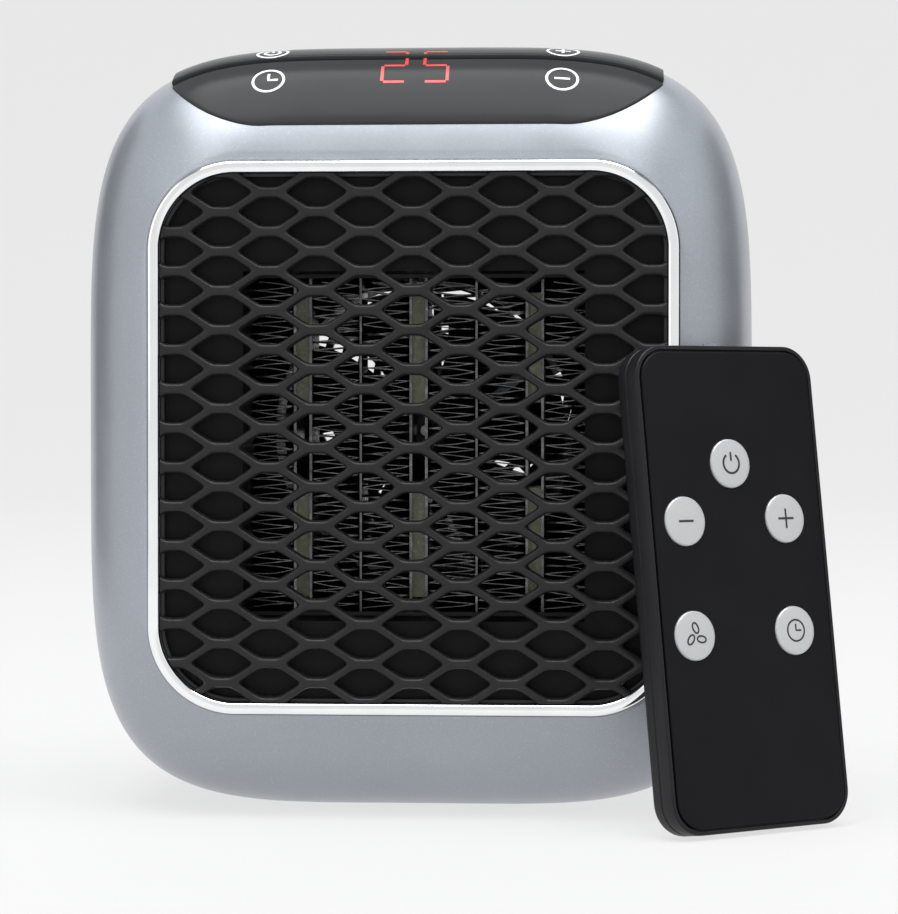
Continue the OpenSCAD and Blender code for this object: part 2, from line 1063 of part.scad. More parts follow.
module coin_cell() {
    color(bright_metal)
        on_remote()
            translate([0, tray_l / 2 + 0.8, 1.5])
                cylinder(r = cell_r, h = 2.5);
}

module remote_button(p) {
    color([0.74, 0.75, 0.77])
        on_remote()
            translate([p[0], p[1], button_low]) {
                cylinder(r = button_r + 0.6, h = 0.3);
                cylinder(r = button_r, h = remote_t + 0.5 - button_low);
            }
}

module remote_button_power() { remote_button(power_spot); }
module remote_button_minus() { remote_button(minus_spot); }
module remote_button_plus() { remote_button(plus_spot); }
module remote_button_speed() { remote_button(speed_spot); }
module remote_button_timer() { remote_button(timer_spot); }

// ---------------------------------------------------------------- nodes

front_bezel();
rear_housing();
rear_cover();
chrome_trim();
front_grille();
air_duct();
control_panel();
display_pcb();
led_display();
touch_springs();
ir_receiver();
ptc_stones();
electrode_plates();
ptc_fins();
divider_plates();
core_end_caps();
thermostat();
thermal_fuse();
fan_shroud();
motor_bracket();
fan_motor();
motor_screws();
fan_impeller();
motor_shaft();
power_pcb();
relay();
filter_capacitor();
terminal_block();
rocker_switch_body();
rocker_button();
intake_grille();
plug_swivel();
plug_pins();
plug_retainer();
base_pad();
case_screws();
remote_case();
remote_face();
remote_pcb();
dome_switches();
remote_ir_led();
battery_contact();
battery_tray();
coin_cell();
remote_button_power();
remote_button_minus();
remote_button_plus();
remote_button_speed();
remote_button_timer();
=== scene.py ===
"""Looks for a plug-in ceramic fan heater with a card remote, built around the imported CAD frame.

Shapes are worked out in millimetres, X right, Y back, Z up, and become metres in piece().
"""
import random
from math import copysign, cos, hypot, pi, radians, sin, sqrt

import bmesh
import bpy
from mathutils import Matrix, Vector


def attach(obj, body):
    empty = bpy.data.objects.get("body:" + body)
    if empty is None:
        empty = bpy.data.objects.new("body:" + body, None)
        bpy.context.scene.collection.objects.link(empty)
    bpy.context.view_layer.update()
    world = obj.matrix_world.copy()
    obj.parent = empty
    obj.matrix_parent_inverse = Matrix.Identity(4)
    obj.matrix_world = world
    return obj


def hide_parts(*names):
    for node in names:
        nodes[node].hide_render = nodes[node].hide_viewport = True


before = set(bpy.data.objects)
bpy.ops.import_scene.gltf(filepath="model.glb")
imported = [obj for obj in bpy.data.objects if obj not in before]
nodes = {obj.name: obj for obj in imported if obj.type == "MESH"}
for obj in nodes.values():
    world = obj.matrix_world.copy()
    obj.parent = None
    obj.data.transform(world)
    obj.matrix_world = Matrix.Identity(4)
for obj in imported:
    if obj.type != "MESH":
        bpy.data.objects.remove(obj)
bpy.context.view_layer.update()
MM = 0.001

# ---- stage, camera and lights

# The camera's place, lens and sensor are in millimetres; its clipping and the floor are in metres
LENS_SENSOR = 36.0
CAMERA_LENS = 118.2
CAMERA_DISTANCE = 580.0
CAMERA_TURN = radians(3.6)
CAMERA_HEIGHT = 76.0
CAMERA_PITCH = radians(1.1)
CAMERA_SHIFT_X = 0.0252
CAMERA_NEAR = 0.02
CAMERA_FAR = 20
SKY_COLOUR = (0.92, 0.95, 1.0, 1)
SKY_STRENGTH = 0.25
FLOOR_GREY = (0.13, 0.13, 0.13)
FLOOR_GLOW = 0.69
FLOOR_FLAT = 1.4
FLOOR_CURVE = 1.0
FLOOR_WALL = 1.6
CARD_BLACK = (0.02, 0.02, 0.022)


def new_object(name, data):
    obj = bpy.data.objects.new(name, data)
    bpy.context.scene.collection.objects.link(obj)
    return obj


def full_turn(count):
    """The angles of count even steps round a circle."""
    return [2 * pi * i / count for i in range(count)]


def add_camera():
    """A long lens a little to the right of the front, as the photograph was taken."""
    data = bpy.data.cameras.new("camera")
    data.sensor_width = LENS_SENSOR
    data.lens = CAMERA_LENS
    data.shift_x = CAMERA_SHIFT_X
    data.clip_start = CAMERA_NEAR
    data.clip_end = CAMERA_FAR
    camera = new_object("camera", data)
    camera.location = Vector((
        CAMERA_DISTANCE * sin(CAMERA_TURN),
        -CAMERA_DISTANCE * cos(CAMERA_TURN),
        CAMERA_HEIGHT,
    )) * MM
    camera.rotation_euler = (pi / 2 - CAMERA_PITCH, 0, CAMERA_TURN)
    bpy.context.scene.camera = camera


def area_light(name, place, target, width, height, watts):
    """A soft box at place, in metres, that faces target and isn't seen by the camera itself."""
    data = bpy.data.lights.new(name, "AREA")
    data.shape = "RECTANGLE"
    data.size = width
    data.size_y = height
    data.energy = watts
    light = new_object(name, data)
    light.location = place
    aim = Vector(target) - Vector(place)
    light.rotation_euler = aim.to_track_quat("-Z", "Y").to_euler()
    light.visible_camera = False


def plain_paint(name, colour, roughness=0.5, shine=0.5, glow=0.0):
    """One even colour for a stage object, which may glow by itself."""
    paint = bpy.data.materials.new(name)
    paint.use_nodes = True
    inputs = paint.node_tree.nodes["Principled BSDF"].inputs
    values = ((*colour, 1), roughness, shine, (1, 1, 1, 1), glow)
    sockets = ("Base Color", "Roughness", "Specular IOR Level", "Emission Color", "Emission Strength")
    for socket, value in zip(sockets, values):
        inputs[socket].default_value = value
    return paint


def dark_card(name, centre, across, up):
    """A black card that shows only in reflections, as dark lines and bands on shiny parts."""
    mesh = bpy.data.meshes.new(name)
    signs = ((-1, -1), (1, -1), (1, 1), (-1, 1))
    corners = [Vector(centre) + Vector(across) * i + Vector(up) * j for i, j in signs]
    mesh.from_pydata(corners, [], [(0, 1, 2, 3)])
    mesh.materials.append(plain_paint(name, CARD_BLACK, shine=0.0))
    card = new_object(name, mesh)
    card.visible_camera = False
    card.visible_diffuse = False
    card.visible_transmission = False
    card.visible_shadow = False


def floor_profile():
    """(radius, height) steps, in metres, of a flat floor, a round sweep and an upright wall."""
    steps = 12
    profile = [(FLOOR_FLAT, 0.0)]
    for k in range(1, steps + 1):
        a = radians(90 * k / steps)
        profile.append((FLOOR_FLAT + FLOOR_CURVE * sin(a), FLOOR_CURVE * (1 - cos(a))))
    profile.append((FLOOR_FLAT + FLOOR_CURVE, FLOOR_CURVE + FLOOR_WALL))
    return profile


def add_stage():
    """A pale floor that curves up all round into a wall, so that no view has a horizon."""
    sides = 72
    turn = full_turn(sides)
    mesh = bpy.data.meshes.new("floor")
    bm = bmesh.new()
    centre = bm.verts.new((0, 0, 0))
    rings = []
    for r, z in floor_profile():
        rings.append([bm.verts.new((r * cos(a), r * sin(a), z)) for a in turn])
    for i in range(sides):
        j = (i + 1) % sides
        bm.faces.new((centre, rings[0][i], rings[0][j]))
        for low, high in zip(rings, rings[1:]):
            bm.faces.new((low[i], high[i], high[j], low[j]))
    bm.to_mesh(mesh)
    bm.free()
    mesh.shade_smooth()
    mesh.materials.append(plain_paint("floor_paint", FLOOR_GREY, roughness=0.9, glow=FLOOR_GLOW))
    new_object("floor", mesh)


def add_lights():
    """An even sky, three soft boxes and two cards for dark reflections, all in metres and watts."""
    world = bpy.data.worlds.new("studio")
    bpy.context.scene.world = world
    world.use_nodes = True
    sky = world.node_tree.nodes["Background"]
    sky.inputs["Color"].default_value = SKY_COLOUR
    sky.inputs["Strength"].default_value = SKY_STRENGTH
    low = (0, 0, 0.05)
    middle = (0, 0, 0.07)
    area_light("top_softbox", (0.0, -0.25, 1.3), low, width=1.3, height=1.0, watts=26)
    area_light("left_softbox", (-1.1, -0.9, 0.55), middle, width=0.5, height=1.0, watts=1.2)
    area_light("right_softbox", (1.2, -0.5, 0.5), middle, width=0.3, height=0.8, watts=0.3)
    dark_card("left_card", (-0.75, 0.35, 0.35), across=(0.10, 0.25, 0), up=(0, 0, 0.35))
    dark_card("right_card", (0.70, 0.25, 0.30), across=(0.06, -0.25, 0), up=(0, 0, 0.30))


bpy.context.scene.view_settings.view_transform = "Standard"
add_camera()
add_stage()
add_lights()

# ---- materials


class Look:
    """A node material under construction, with short ways to add the usual nodes."""

    def __init__(self, colour, metallic=0.0, roughness=0.5):
        self.material = bpy.data.materials.new("look")
        self.material.use_nodes = True
        self.tree = self.material.node_tree
        self.shader = self.tree.nodes["Principled BSDF"]
        self.set("Metallic", metallic)
        self.colour = (*colour, 1)
        self.roughness = roughness
        self.height = None
        self.tint = None
        self.place = self.tree.nodes.new("ShaderNodeTexCoord").outputs["Object"]

    def set(self, socket, value):
        """Sets an input of the shader by name."""
        self.shader.inputs[socket].default_value = value

    def link(self, source, target):
        self.tree.links.new(source, target)

    def noise(self, size_mm, detail=3.0, stretch=(1, 1, 1)):
        """Noise whose lumps are about size_mm wide, stretched along each axis."""
        mapping = self.tree.nodes.new("ShaderNodeMapping")
        mapping.inputs["Scale"].default_value = tuple(1 / s for s in stretch)
        self.link(self.place, mapping.inputs["Vector"])
        node = self.tree.nodes.new("ShaderNodeTexNoise")
        node.inputs["Scale"].default_value = 1000 / size_mm
        node.inputs["Detail"].default_value = detail
        self.link(mapping.outputs["Vector"], node.inputs["Vector"])
        return node.outputs["Fac"]

    def spread(self, source, low, high, start=0.3, end=0.7):
        """Maps source, from start to end, to low to high."""
        node = self.tree.nodes.new("ShaderNodeMapRange")
        for socket, value in (("From Min", start), ("From Max", end), ("To Min", low), ("To Max", high)):
            node.inputs[socket].default_value = value
        self.link(source, node.inputs["Value"])
        return node.outputs["Result"]

    def mix(self, factor, first, second):
        """A colour between first and second; first may be a socket."""
        node = self.tree.nodes.new("ShaderNodeMix")
        node.data_type = "RGBA"
        self.link(factor, node.inputs["Factor"])
        if isinstance(first, tuple):
            node.inputs["A"].default_value = first
        else:
            self.link(first, node.inputs["A"])
        node.inputs["B"].default_value = second
        return node.outputs["Result"]

    def mottle(self, size_mm, amount, stretch=(1, 1, 1), detail=3.0):
        """Colour that drifts a little lighter and darker."""
        share = self.spread(self.noise(size_mm, detail, stretch), 0, 1)
        dark = tuple(c * (1 - amount) for c in self.colour[:3]) + (1,)
        light = tuple(min(1, c * (1 + amount)) for c in self.colour[:3]) + (1,)
        self.tint = self.mix(share, dark, light)
        return self

    def flecks(self, size_mm, colour, start=0.62, end=0.75):
        """Small specks of another colour on top."""
        share = self.spread(self.noise(size_mm, 2.0), 0, 1, start, end)
        self.tint = self.mix(share, self.tint, (*colour, 1))
        return self

    def painted_edge_highlight(self, colour, start=0.53, end=0.60):
        """A lighter or darker colour along convex edges, as a painted highlight."""
        geometry = self.tree.nodes.new("ShaderNodeNewGeometry")
        share = self.spread(geometry.outputs["Pointiness"], 0, 1, start, end)
        self.tint = self.mix(share, self.tint, (*colour, 1))
        return self

    def sheen_spread(self, size_mm, low, high, stretch=(1, 1, 1)):
        """Roughness that varies over the surface, as smears and moulding marks do."""
        share = self.spread(self.noise(size_mm, 4.0, stretch), low, high)
        self.link(share, self.shader.inputs["Roughness"])
        self.roughness = None
        return self

    def grain(self, size_mm, depth_mm, strength=0.4, stretch=(1, 1, 1), detail=2.0):
        """Fine surface relief; a second call adds to the first."""
        bump = self.tree.nodes.new("ShaderNodeBump")
        bump.inputs["Strength"].default_value = strength
        bump.inputs["Distance"].default_value = depth_mm * MM
        self.link(self.noise(size_mm, detail, stretch), bump.inputs["Height"])
        if self.height is not None:
            self.link(self.height, bump.inputs["Normal"])
        self.height = bump.outputs["Normal"]
        return self

    def coat(self, weight, roughness=0.05):
        """A clear coat over everything else."""
        self.set("Coat Weight", weight)
        self.set("Coat Roughness", roughness)
        return self

    def done(self):
        """The finished material, with its colour, roughness and relief joined to the shader."""
        if self.tint is None:
            self.set("Base Color", self.colour)
        else:
            self.link(self.tint, self.shader.inputs["Base Color"])
        if self.roughness is not None:
            self.set("Roughness", self.roughness)
        if self.height is not None:
            self.link(self.height, self.shader.inputs["Normal"])
        return self.material


def satin_paint(colour, metallic=0.55):
    """Silver paint with fine metal flake under a thin clear coat."""
    look = Look(colour, metallic).mottle(26, 0.035).flecks(0.16, (0.62, 0.65, 0.70))
    return look.sheen_spread(9, 0.30, 0.38).grain(0.25, 0.004, 0.25).coat(0.20, 0.22).done()


def moulded(colour, grain_mm=0.35, roughness=(0.42, 0.56), relief=0.02, shine=0.5):
    """Moulded plastic with a fine spark-eroded texture and convex edges painted lighter as a highlight."""
    # Painted highlight: convex edges get a lighter colour, a little stronger for shinier plastic.
    edge_highlight_colour = tuple(min(1, c * 1.9 + 0.01 * shine) for c in colour)
    look = Look(colour).mottle(7, 0.12).painted_edge_highlight(edge_highlight_colour)
    look.set("Specular IOR Level", shine)
    return look.sheen_spread(5, *roughness).grain(grain_mm, relief, 0.5).done()


def smoked_panel(colour):
    """Smooth smoked plastic that lets some grey show through, with faint smears."""
    look = Look(colour).mottle(14, 0.06).sheen_spread(11, 0.16, 0.24)
    look.set("Specular IOR Level", 0.08)
    return look.grain(3.5, 0.006, 0.15).done()


def dull_black(colour):
    """A printed black overlay with little shine."""
    look = Look(colour).mottle(9, 0.08).sheen_spread(7, 0.40, 0.48).grain(0.5, 0.004, 0.3)
    look.set("Specular IOR Level", 0.11)
    return look.done()


def brushed(colour, roughness=(0.22, 0.38), stretch=(14, 1, 1), tarnish=0.06):
    """Rolled or turned metal with fine lines."""
    look = Look(colour, metallic=1.0).mottle(4, tarnish)
    return look.sheen_spread(1.2, *roughness, stretch=stretch).grain(0.22, 0.006, 0.4, stretch).done()


def circuit_board():
    """Solder mask with darker copper areas showing through and glossy bumps."""
    look = Look((0.010, 0.085, 0.035)).mottle(3.0, 0.45, detail=0.5).flecks(0.9, (0.03, 0.16, 0.06))
    return look.sheen_spread(2, 0.18, 0.34).grain(1.1, 0.02, 0.4).coat(0.4).done()


def ceramic():
    """Greenish grey fired ceramic with electrode smears and tiny pits."""
    look = Look((0.25, 0.265, 0.185)).mottle(2.6, 0.22).flecks(0.6, (0.40, 0.40, 0.32), 0.60, 0.72)
    return look.sheen_spread(1.5, 0.45, 0.75).grain(0.3, 0.03, 0.6).done()


def foil():
    """Thin rolled aluminium, painted much darker than bare metal as shade for its place deep behind the
    grille, and heat-stained here and there.
    """
    # Painted shade: the base colour is far darker than bare aluminium and stands in for the shadow deep
    # behind the grille.
    look = Look((0.21, 0.21, 0.215), metallic=1.0).mottle(2.2, 0.35)
    look.flecks(1.4, (0.10, 0.09, 0.08), 0.60, 0.80)
    return look.sheen_spread(1.0, 0.20, 0.42).grain(0.7, 0.03, 0.5, (1, 6, 1)).done()


def polished(colour):
    """Bright plated metal with faint haze."""
    look = Look(colour, metallic=1.0).mottle(9, 0.03)
    return look.sheen_spread(6, 0.05, 0.12).grain(5, 0.004, 0.2).done()


def rubber():
    """Matt rubber with a coarse skin."""
    look = Look((0.022, 0.022, 0.023)).mottle(3, 0.25).sheen_spread(3, 0.70, 0.90)
    return look.grain(0.5, 0.04, 0.7).done()


def glowing(colour, strength):
    """LED segments behind a smoked window, a little uneven along their length."""
    look = Look(tuple(0.3 * c for c in colour)).mottle(1.5, 0.2)
    share = look.spread(look.noise(2.5), 0, 1)
    dim = tuple(0.75 * c for c in colour) + (1,)
    look.link(look.mix(share, dim, (*colour, 1)), look.shader.inputs["Emission Color"])
    look.set("Emission Strength", strength)
    return look.sheen_spread(2, 0.25, 0.4).grain(0.4, 0.005, 0.3).done()


def printed(colour):
    """Screen-printed ink, slightly uneven."""
    look = Look(colour).mottle(0.8, 0.06)
    return look.sheen_spread(0.8, 0.35, 0.5).grain(0.15, 0.004, 0.4).done()


def clear_tint(colour):
    """Tinted clear plastic."""
    look = Look(colour).mottle(1.5, 0.1).sheen_spread(2, 0.06, 0.12).grain(2, 0.004, 0.2)
    look.set("Transmission Weight", 0.6)
    return look.done()


SHELL_COLOUR = (0.335, 0.360, 0.398)
LOOKS = {
    "shell_silver": satin_paint(SHELL_COLOUR),
    "rear_shell": satin_paint((0.295, 0.318, 0.352), 0.45),
    "trim_chrome": polished((0.93, 0.94, 0.95)),
    "grille_black": moulded((0.013, 0.013, 0.014), 0.3, (0.34, 0.46), shine=0.28),
    # duct_black: black plastic made darker still as painted shade for the recess behind the grille; the
    # fan shroud shares it.
    "duct_black": moulded((0.004, 0.004, 0.0045), 0.6, (0.35, 0.5), 0.04, shine=0.10),
    "panel_black": smoked_panel((0.035, 0.0365, 0.0375)),
    "board_green": circuit_board(),
    "led_red": clear_tint((0.30, 0.02, 0.02)),
    "spring_steel": brushed((0.70, 0.69, 0.66)),
    "ir_black": clear_tint((0.02, 0.01, 0.015)),
    "ptc_ceramic": ceramic(),
    # The dark colour of fin_aluminium is painted shade for the heating core behind the grille.
    "fin_aluminium": foil(),
    "cap_black": moulded((0.030, 0.029, 0.028), 0.5, (0.5, 0.7), 0.03),
    "thermostat_metal": brushed((0.62, 0.57, 0.48), tarnish=0.15),
    "impeller_grey": moulded((0.055, 0.057, 0.062), 0.4, (0.35, 0.5)),
    "motor_steel": brushed((0.46, 0.47, 0.49), (0.28, 0.42), (1, 1, 10), 0.10),
    "screw_steel": brushed((0.55, 0.55, 0.56), (0.25, 0.40), (1, 5, 1), 0.12),
    "relay_blue": moulded((0.02, 0.08, 0.30), 0.4, (0.3, 0.45)),
    "capacitor_yellow": moulded((0.50, 0.33, 0.03), 0.4, (0.3, 0.5)),
    "terminal_green": moulded((0.03, 0.20, 0.08), 0.4, (0.35, 0.5)),
    "switch_black": moulded((0.016, 0.016, 0.017), 0.35, (0.28, 0.42)),
    "plug_grey": moulded((0.035, 0.036, 0.038), 0.4, (0.40, 0.55)),
    "pin_nickel": brushed((0.74, 0.72, 0.68), (0.14, 0.26), (1, 9, 1)),
    "retainer_white": moulded((0.62, 0.60, 0.55), 0.4, (0.4, 0.55)),
    "pad_rubber": rubber(),
    "remote_black": moulded((0.008, 0.008, 0.0095), 0.25, (0.32, 0.42), 0.008, shine=0.25),
    "remote_face_black": dull_black((0.0065, 0.0060, 0.0075)),
    "button_silver": satin_paint((0.50, 0.51, 0.52), 0.25),
    "ir_led_clear": clear_tint((0.55, 0.50, 0.62)),
    "cell_steel": brushed((0.72, 0.71, 0.69), (0.12, 0.24)),
    "digit_red": glowing((0.85, 0.05, 0.045), 0.75),
    "mark_white": printed((0.82, 0.83, 0.84)),
    "mark_black": printed((0.02, 0.02, 0.022)),
}
for look_name, look_material in LOOKS.items():
    look_material.name = look_name

# The material slot of each CAD node that is shown, and the size of its soft edges in millimetres
NODE_FINISH = {
    "rear_cover": ("rear_shell", 0.2),
    "air_duct": ("duct_black", 0.2),
    "display_pcb": ("board_green", 0),
    "led_display": ("led_red", 0),
    "touch_springs": ("spring_steel", 0),
    "ir_receiver": ("ir_black", 0),
    "ptc_stones": ("ptc_ceramic", 0.12),
    "electrode_plates": ("fin_aluminium", 0),
    "divider_plates": ("fin_aluminium", 0),
    "core_end_caps": ("cap_black", 0.2),
    "thermostat": ("thermostat_metal", 0),
    "thermal_fuse": ("screw_steel", 0),
    "fan_shroud": ("duct_black", 0.2),
    "motor_bracket": ("motor_steel", 0),
    "fan_motor": ("motor_steel", 0.6),
    "motor_screws": ("screw_steel", 0),
    "motor_shaft": ("screw_steel", 0),
    "power_pcb": ("board_green", 0),
    "relay": ("relay_blue", 0.5),
    "filter_capacitor": ("capacitor_yellow", 0.6),
    "terminal_block": ("terminal_green", 0.3),
    "rocker_switch_body": ("switch_black", 0.3),
    "rocker_button": ("switch_black", 0.35),
    "intake_grille": ("grille_black", 0.3),
    "plug_swivel": ("plug_grey", 0.9),
    "plug_pins": ("pin_nickel", 0.2),
    "plug_retainer": ("retainer_white", 0),
    "base_pad": ("pad_rubber", 0.25),
    "case_screws": ("screw_steel", 0.12),
    "remote_pcb": ("board_green", 0),
    "dome_switches": ("spring_steel", 0),
    "remote_ir_led": ("ir_led_clear", 0),
    "battery_contact": ("spring_steel", 0),
    "battery_tray": ("remote_black", 0.2),
    "coin_cell": ("cell_steel", 0),
}
SOFT_EDGE_ANGLE = radians(40)


def dress(name, slot, edge_mm):
    """Gives a CAD node its material, and soft edges where it has a size for them."""
    obj = nodes[name]
    if not obj.material_slots:
        obj.data.materials.append(LOOKS[slot])
    for place in obj.material_slots:
        place.material = LOOKS[slot]
    if edge_mm:
        bevel = obj.modifiers.new("soft_edges", "BEVEL")
        bevel.width = edge_mm * MM
        bevel.segments = 3
        bevel.limit_method = "ANGLE"
        bevel.angle_limit = SOFT_EDGE_ANGLE


for node_name, (node_slot, node_edge) in NODE_FINISH.items():
    dress(node_name, node_slot, node_edge)

# ---- mesh helpers


def piece(name, shape, slot, stands_for=None, body="heater", look=None, sharp=35):
    """A mesh object of points in millimetres, which rides on a body and may stand for a CAD node.

    Its look is that of its slot, unless another is named.
    """
    points, faces = shape
    mesh = bpy.data.meshes.new(name)
    bm = bmesh.new()
    verts = [bm.verts.new(Vector(p) * MM) for p in points]
    for face in faces:
        bm.faces.new([verts[i] for i in face])
    bmesh.ops.recalc_face_normals(bm, faces=bm.faces)
    bm.to_mesh(mesh)
    bm.free()
    mesh.materials.append(LOOKS[look or slot])
    mesh.shade_smooth()
    mesh.set_sharp_from_angle(angle=radians(sharp))
    obj = new_object(name, mesh)
    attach(obj, body)
    if stands_for:
        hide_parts(stands_for)
    return obj


def loft(rings, wrap=False, caps=False):
    """Points and faces of a skin over rings of equal length."""
    count = len(rings[0])
    points = [p for ring in rings for p in ring]
    faces = []
    for k in range(len(rings) if wrap else len(rings) - 1):
        here = k * count
        there = (k + 1) % len(rings) * count
        for i in range(count):
            j = (i + 1) % count
            faces.append((here + i, here + j, there + j, there + i))
    if caps:
        faces.append(tuple(range(count)))
        faces.append(tuple(range((len(rings) - 1) * count, len(rings) * count)))
    return points, faces


def slab(top, under):
    """Points and faces of a closed sheet between two grids of points, given as lists of rows."""
    count = len(top[0])
    last_row = (len(top) - 1) * count
    lower = len(top) * count
    points = [p for row in top + under for p in row]
    faces = []
    for a in range(0, last_row, count):
        for b in range(a, a + count - 1):
            faces.append((b, b + 1, b + count + 1, b + count))
            faces.append((lower + b, lower + b + count, lower + b + count + 1, lower + b + 1))
        end = a + count - 1
        faces.append((a, a + count, lower + a + count, lower + a))
        faces.append((end, lower + end, lower + end + count, end + count))
    for k in range(count - 1):
        far = last_row + k
        faces.append((k, lower + k, lower + k + 1, k + 1))
        faces.append((far, far + 1, lower + far + 1, lower + far))
    return points, faces


def join(parts):
    """One list of points and faces from several."""
    points = []
    faces = []
    for part_points, part_faces in parts:
        start = len(points)
        points += part_points
        faces += [tuple(i + start for i in face) for face in part_faces]
    return points, faces


def corner_side(value, half, corner, power):
    """How far out a rounded outline is, for the cosine or sine of the turn."""
    if abs(value) < 1e-9:
        return 0.0
    return copysign(half - corner + corner * abs(value) ** (2 / power), value)


def outline(half, corner, power, count):
    """Points (x, z) round straight sides and superellipse corners; half and corner are (x, z) sizes."""
    points = []
    for a in full_turn(count):
        x = corner_side(cos(a), half[0], corner[0], power)
        z = corner_side(sin(a), half[1], corner[1], power)
        points.append((x, z))
    return points


def blend(start, end, share):
    return start + (end - start) * share


def quarter(steps):
    """(sin, 1 - cos) pairs of a quarter turn, for rounding an edge."""
    turn = [pi / 2 * k / steps for k in range(steps + 1)]
    return [(sin(a), 1 - cos(a)) for a in turn]


def arc(cx, cy, r, start, end, steps=24):
    """Points on an arc, with angles in degrees, anticlockwise from the right."""
    turn = [radians(start + (end - start) * k / steps) for k in range(steps + 1)]
    return [(cx + r * cos(a), cy + r * sin(a)) for a in turn]


def line(x0, y0, x1, y1, steps=6):
    """Points along a straight line."""
    return [(x0 + (x1 - x0) * k / steps, y0 + (y1 - y0) * k / steps) for k in range(steps + 1)]


def pairs_round(items):
    """Each item with the next one, and the last with the first."""
    return list(zip(items, items[1:] + items[:1]))


def boolean(target, cutter, operation):
    """Applies a boolean to target and deletes the cutter."""
    step = target.modifiers.new("cut", "BOOLEAN")
    step.operation = operation
    step.object = cutter
    step.solver = "EXACT"
    bpy.context.view_layer.update()
    evaluated = target.evaluated_get(bpy.context.evaluated_depsgraph_get())
    mesh = bpy.data.meshes.new_from_object(evaluated)
    target.modifiers.remove(step)
    old = target.data
    target.data = mesh
    bpy.data.meshes.remove(old)
    bpy.data.objects.remove(cutter)


def cutting_tool(shape):
    """A plain mesh object for cutting with."""
    points, faces = shape
    mesh = bpy.data.meshes.new("cutting_tool")
    mesh.from_pydata([Vector(p) * MM for p in points], [], faces)
    bm = bmesh.new()
    bm.from_mesh(mesh)
    bmesh.ops.recalc_face_normals(bm, faces=bm.faces)
    bm.to_mesh(mesh)
    bm.free()
    return new_object("cutting_tool", mesh)


# ---- housing sections, as in the CAD model

FRONT_Y = -40.0
BACK_Y = 40.0
SEAM_Y = -2.0
SEAM_GAP = 0.3
BEZEL_D = 37.85
SOLE_Z = 0.8
OPENING_A = 48.0
OPENING_B = 50.0
OPENING_Z = 69.0
OPENING_CORNER = 16.0
BODY_A = 62.0
BODY_B = 70.5
BODY_POWER = 4.5
COVER_A = 49.0
COVER_B = 57.5
WALL = 2.2
JOINT_INSET = 1.1
RING_COUNT = 320
SWELL_POWER = 5
SWELL_EASE = 0.95
NARROWING = 4


def swell(t):
    """How far the front shell has swelled at depth share t, from its opening to its widest section."""
    return (1 - (1 - t) ** SWELL_POWER) ** SWELL_EASE


def swell_depth(g):
    """The depth share at which the front shell has swelled by g."""
    return 1 - (1 - g ** (1 / SWELL_EASE)) ** (1 / SWELL_POWER)


def front_section(t, inset=0.0):
    """(y, half size, corner size, centre height, power, lowest z) of the front shell."""
    g = swell(t)
    half = (blend(OPENING_A, BODY_A, g) - inset, blend(OPENING_B, BODY_B, g) - inset)
    corner = (blend(OPENING_CORNER, BODY_A, g) - inset, blend(OPENING_CORNER, BODY_B, g) - inset)
    y = FRONT_Y + BEZEL_D * t
    return (y, half, corner, blend(OPENING_Z, BODY_B, g), blend(2.0, BODY_POWER, g), SOLE_Z + inset)


def oval_section(y, half, lowest):
    """A full superellipse, whose corners fill each side."""
    return (y, half, half, BODY_B, BODY_POWER, lowest)


def rear_section(y, inset=0.0):
    """The rear shell's section, which narrows towards the back."""
    narrow = NARROWING * ((y - SEAM_Y) / (BACK_Y - SEAM_Y)) ** 2 + inset
    return oval_section(y, (BODY_A - narrow, BODY_B - narrow), SOLE_Z + inset)


def at_depth(section, y):
    """The same section moved to y."""
    return (y, *section[1:])


def ring_of(section, count=RING_COUNT):
    """The points of a section's outline."""
    y, half, corner, centre, power, lowest = section
    return [(x, y, max(lowest, centre + z)) for x, z in outline(half, corner, power, count)]


def opening_ring(inset, y, count=RING_COUNT):
    """The front opening's shape, drawn in by inset."""
    return ring_of((*at_depth(front_section(0, inset), y)[:5], 0), count)


def bezel_outside():
    """Sections from the lip round the opening, over the swell, to the edge at the seam."""
    lip = 0.5
    lip_steps = 6
    lip_out = 0.88 * lip
    lip_back = 0.475 * lip
    edge = 0.45
    sections = []
    for k in range(lip_steps + 1):
        s = k / lip_steps
        back = (1 - s) ** 2 * lip + s * s * lip_back
        sections.append(at_depth(front_section(0, -s * s * lip_out), FRONT_Y + back))
    first = 0.009
    last = 1 - edge / BEZEL_D
    steps = 40
    crowding = 1.6
    for k in range(1, steps + 1):
        sections.append(front_section(blend(first, last, (k / steps) ** crowding)))
    for run, rise in quarter(4)[1:]:
        sections.append(at_depth(front_section(1, edge * rise), FRONT_Y + BEZEL_D - edge * (1 - run)))
    return sections


def front_bezel():
    """The swelling front shell, with the step that takes the rear shell's tongue."""
    joint_end = 0.934
    inner_steps = (joint_end, 0.8, 0.6, 0.42, 0.3, 0.21)
    opening_depth = 4
    sections = bezel_outside()
    sections += [front_section(t, JOINT_INSET) for t in (1, joint_end)]
    sections += [front_section(t, WALL) for t in inner_steps]
    sections.append(at_depth(front_section(0), FRONT_Y + opening_depth))
    shape = loft([ring_of(s) for s in sections], wrap=True)
    piece("front_bezel_shell", shape, "shell_silver", "front_bezel")


REAR_START = SEAM_Y + SEAM_GAP / 2
REAR_ROUND_R = 9.0
REAR_ROUND_Y = BACK_Y - REAR_ROUND_R


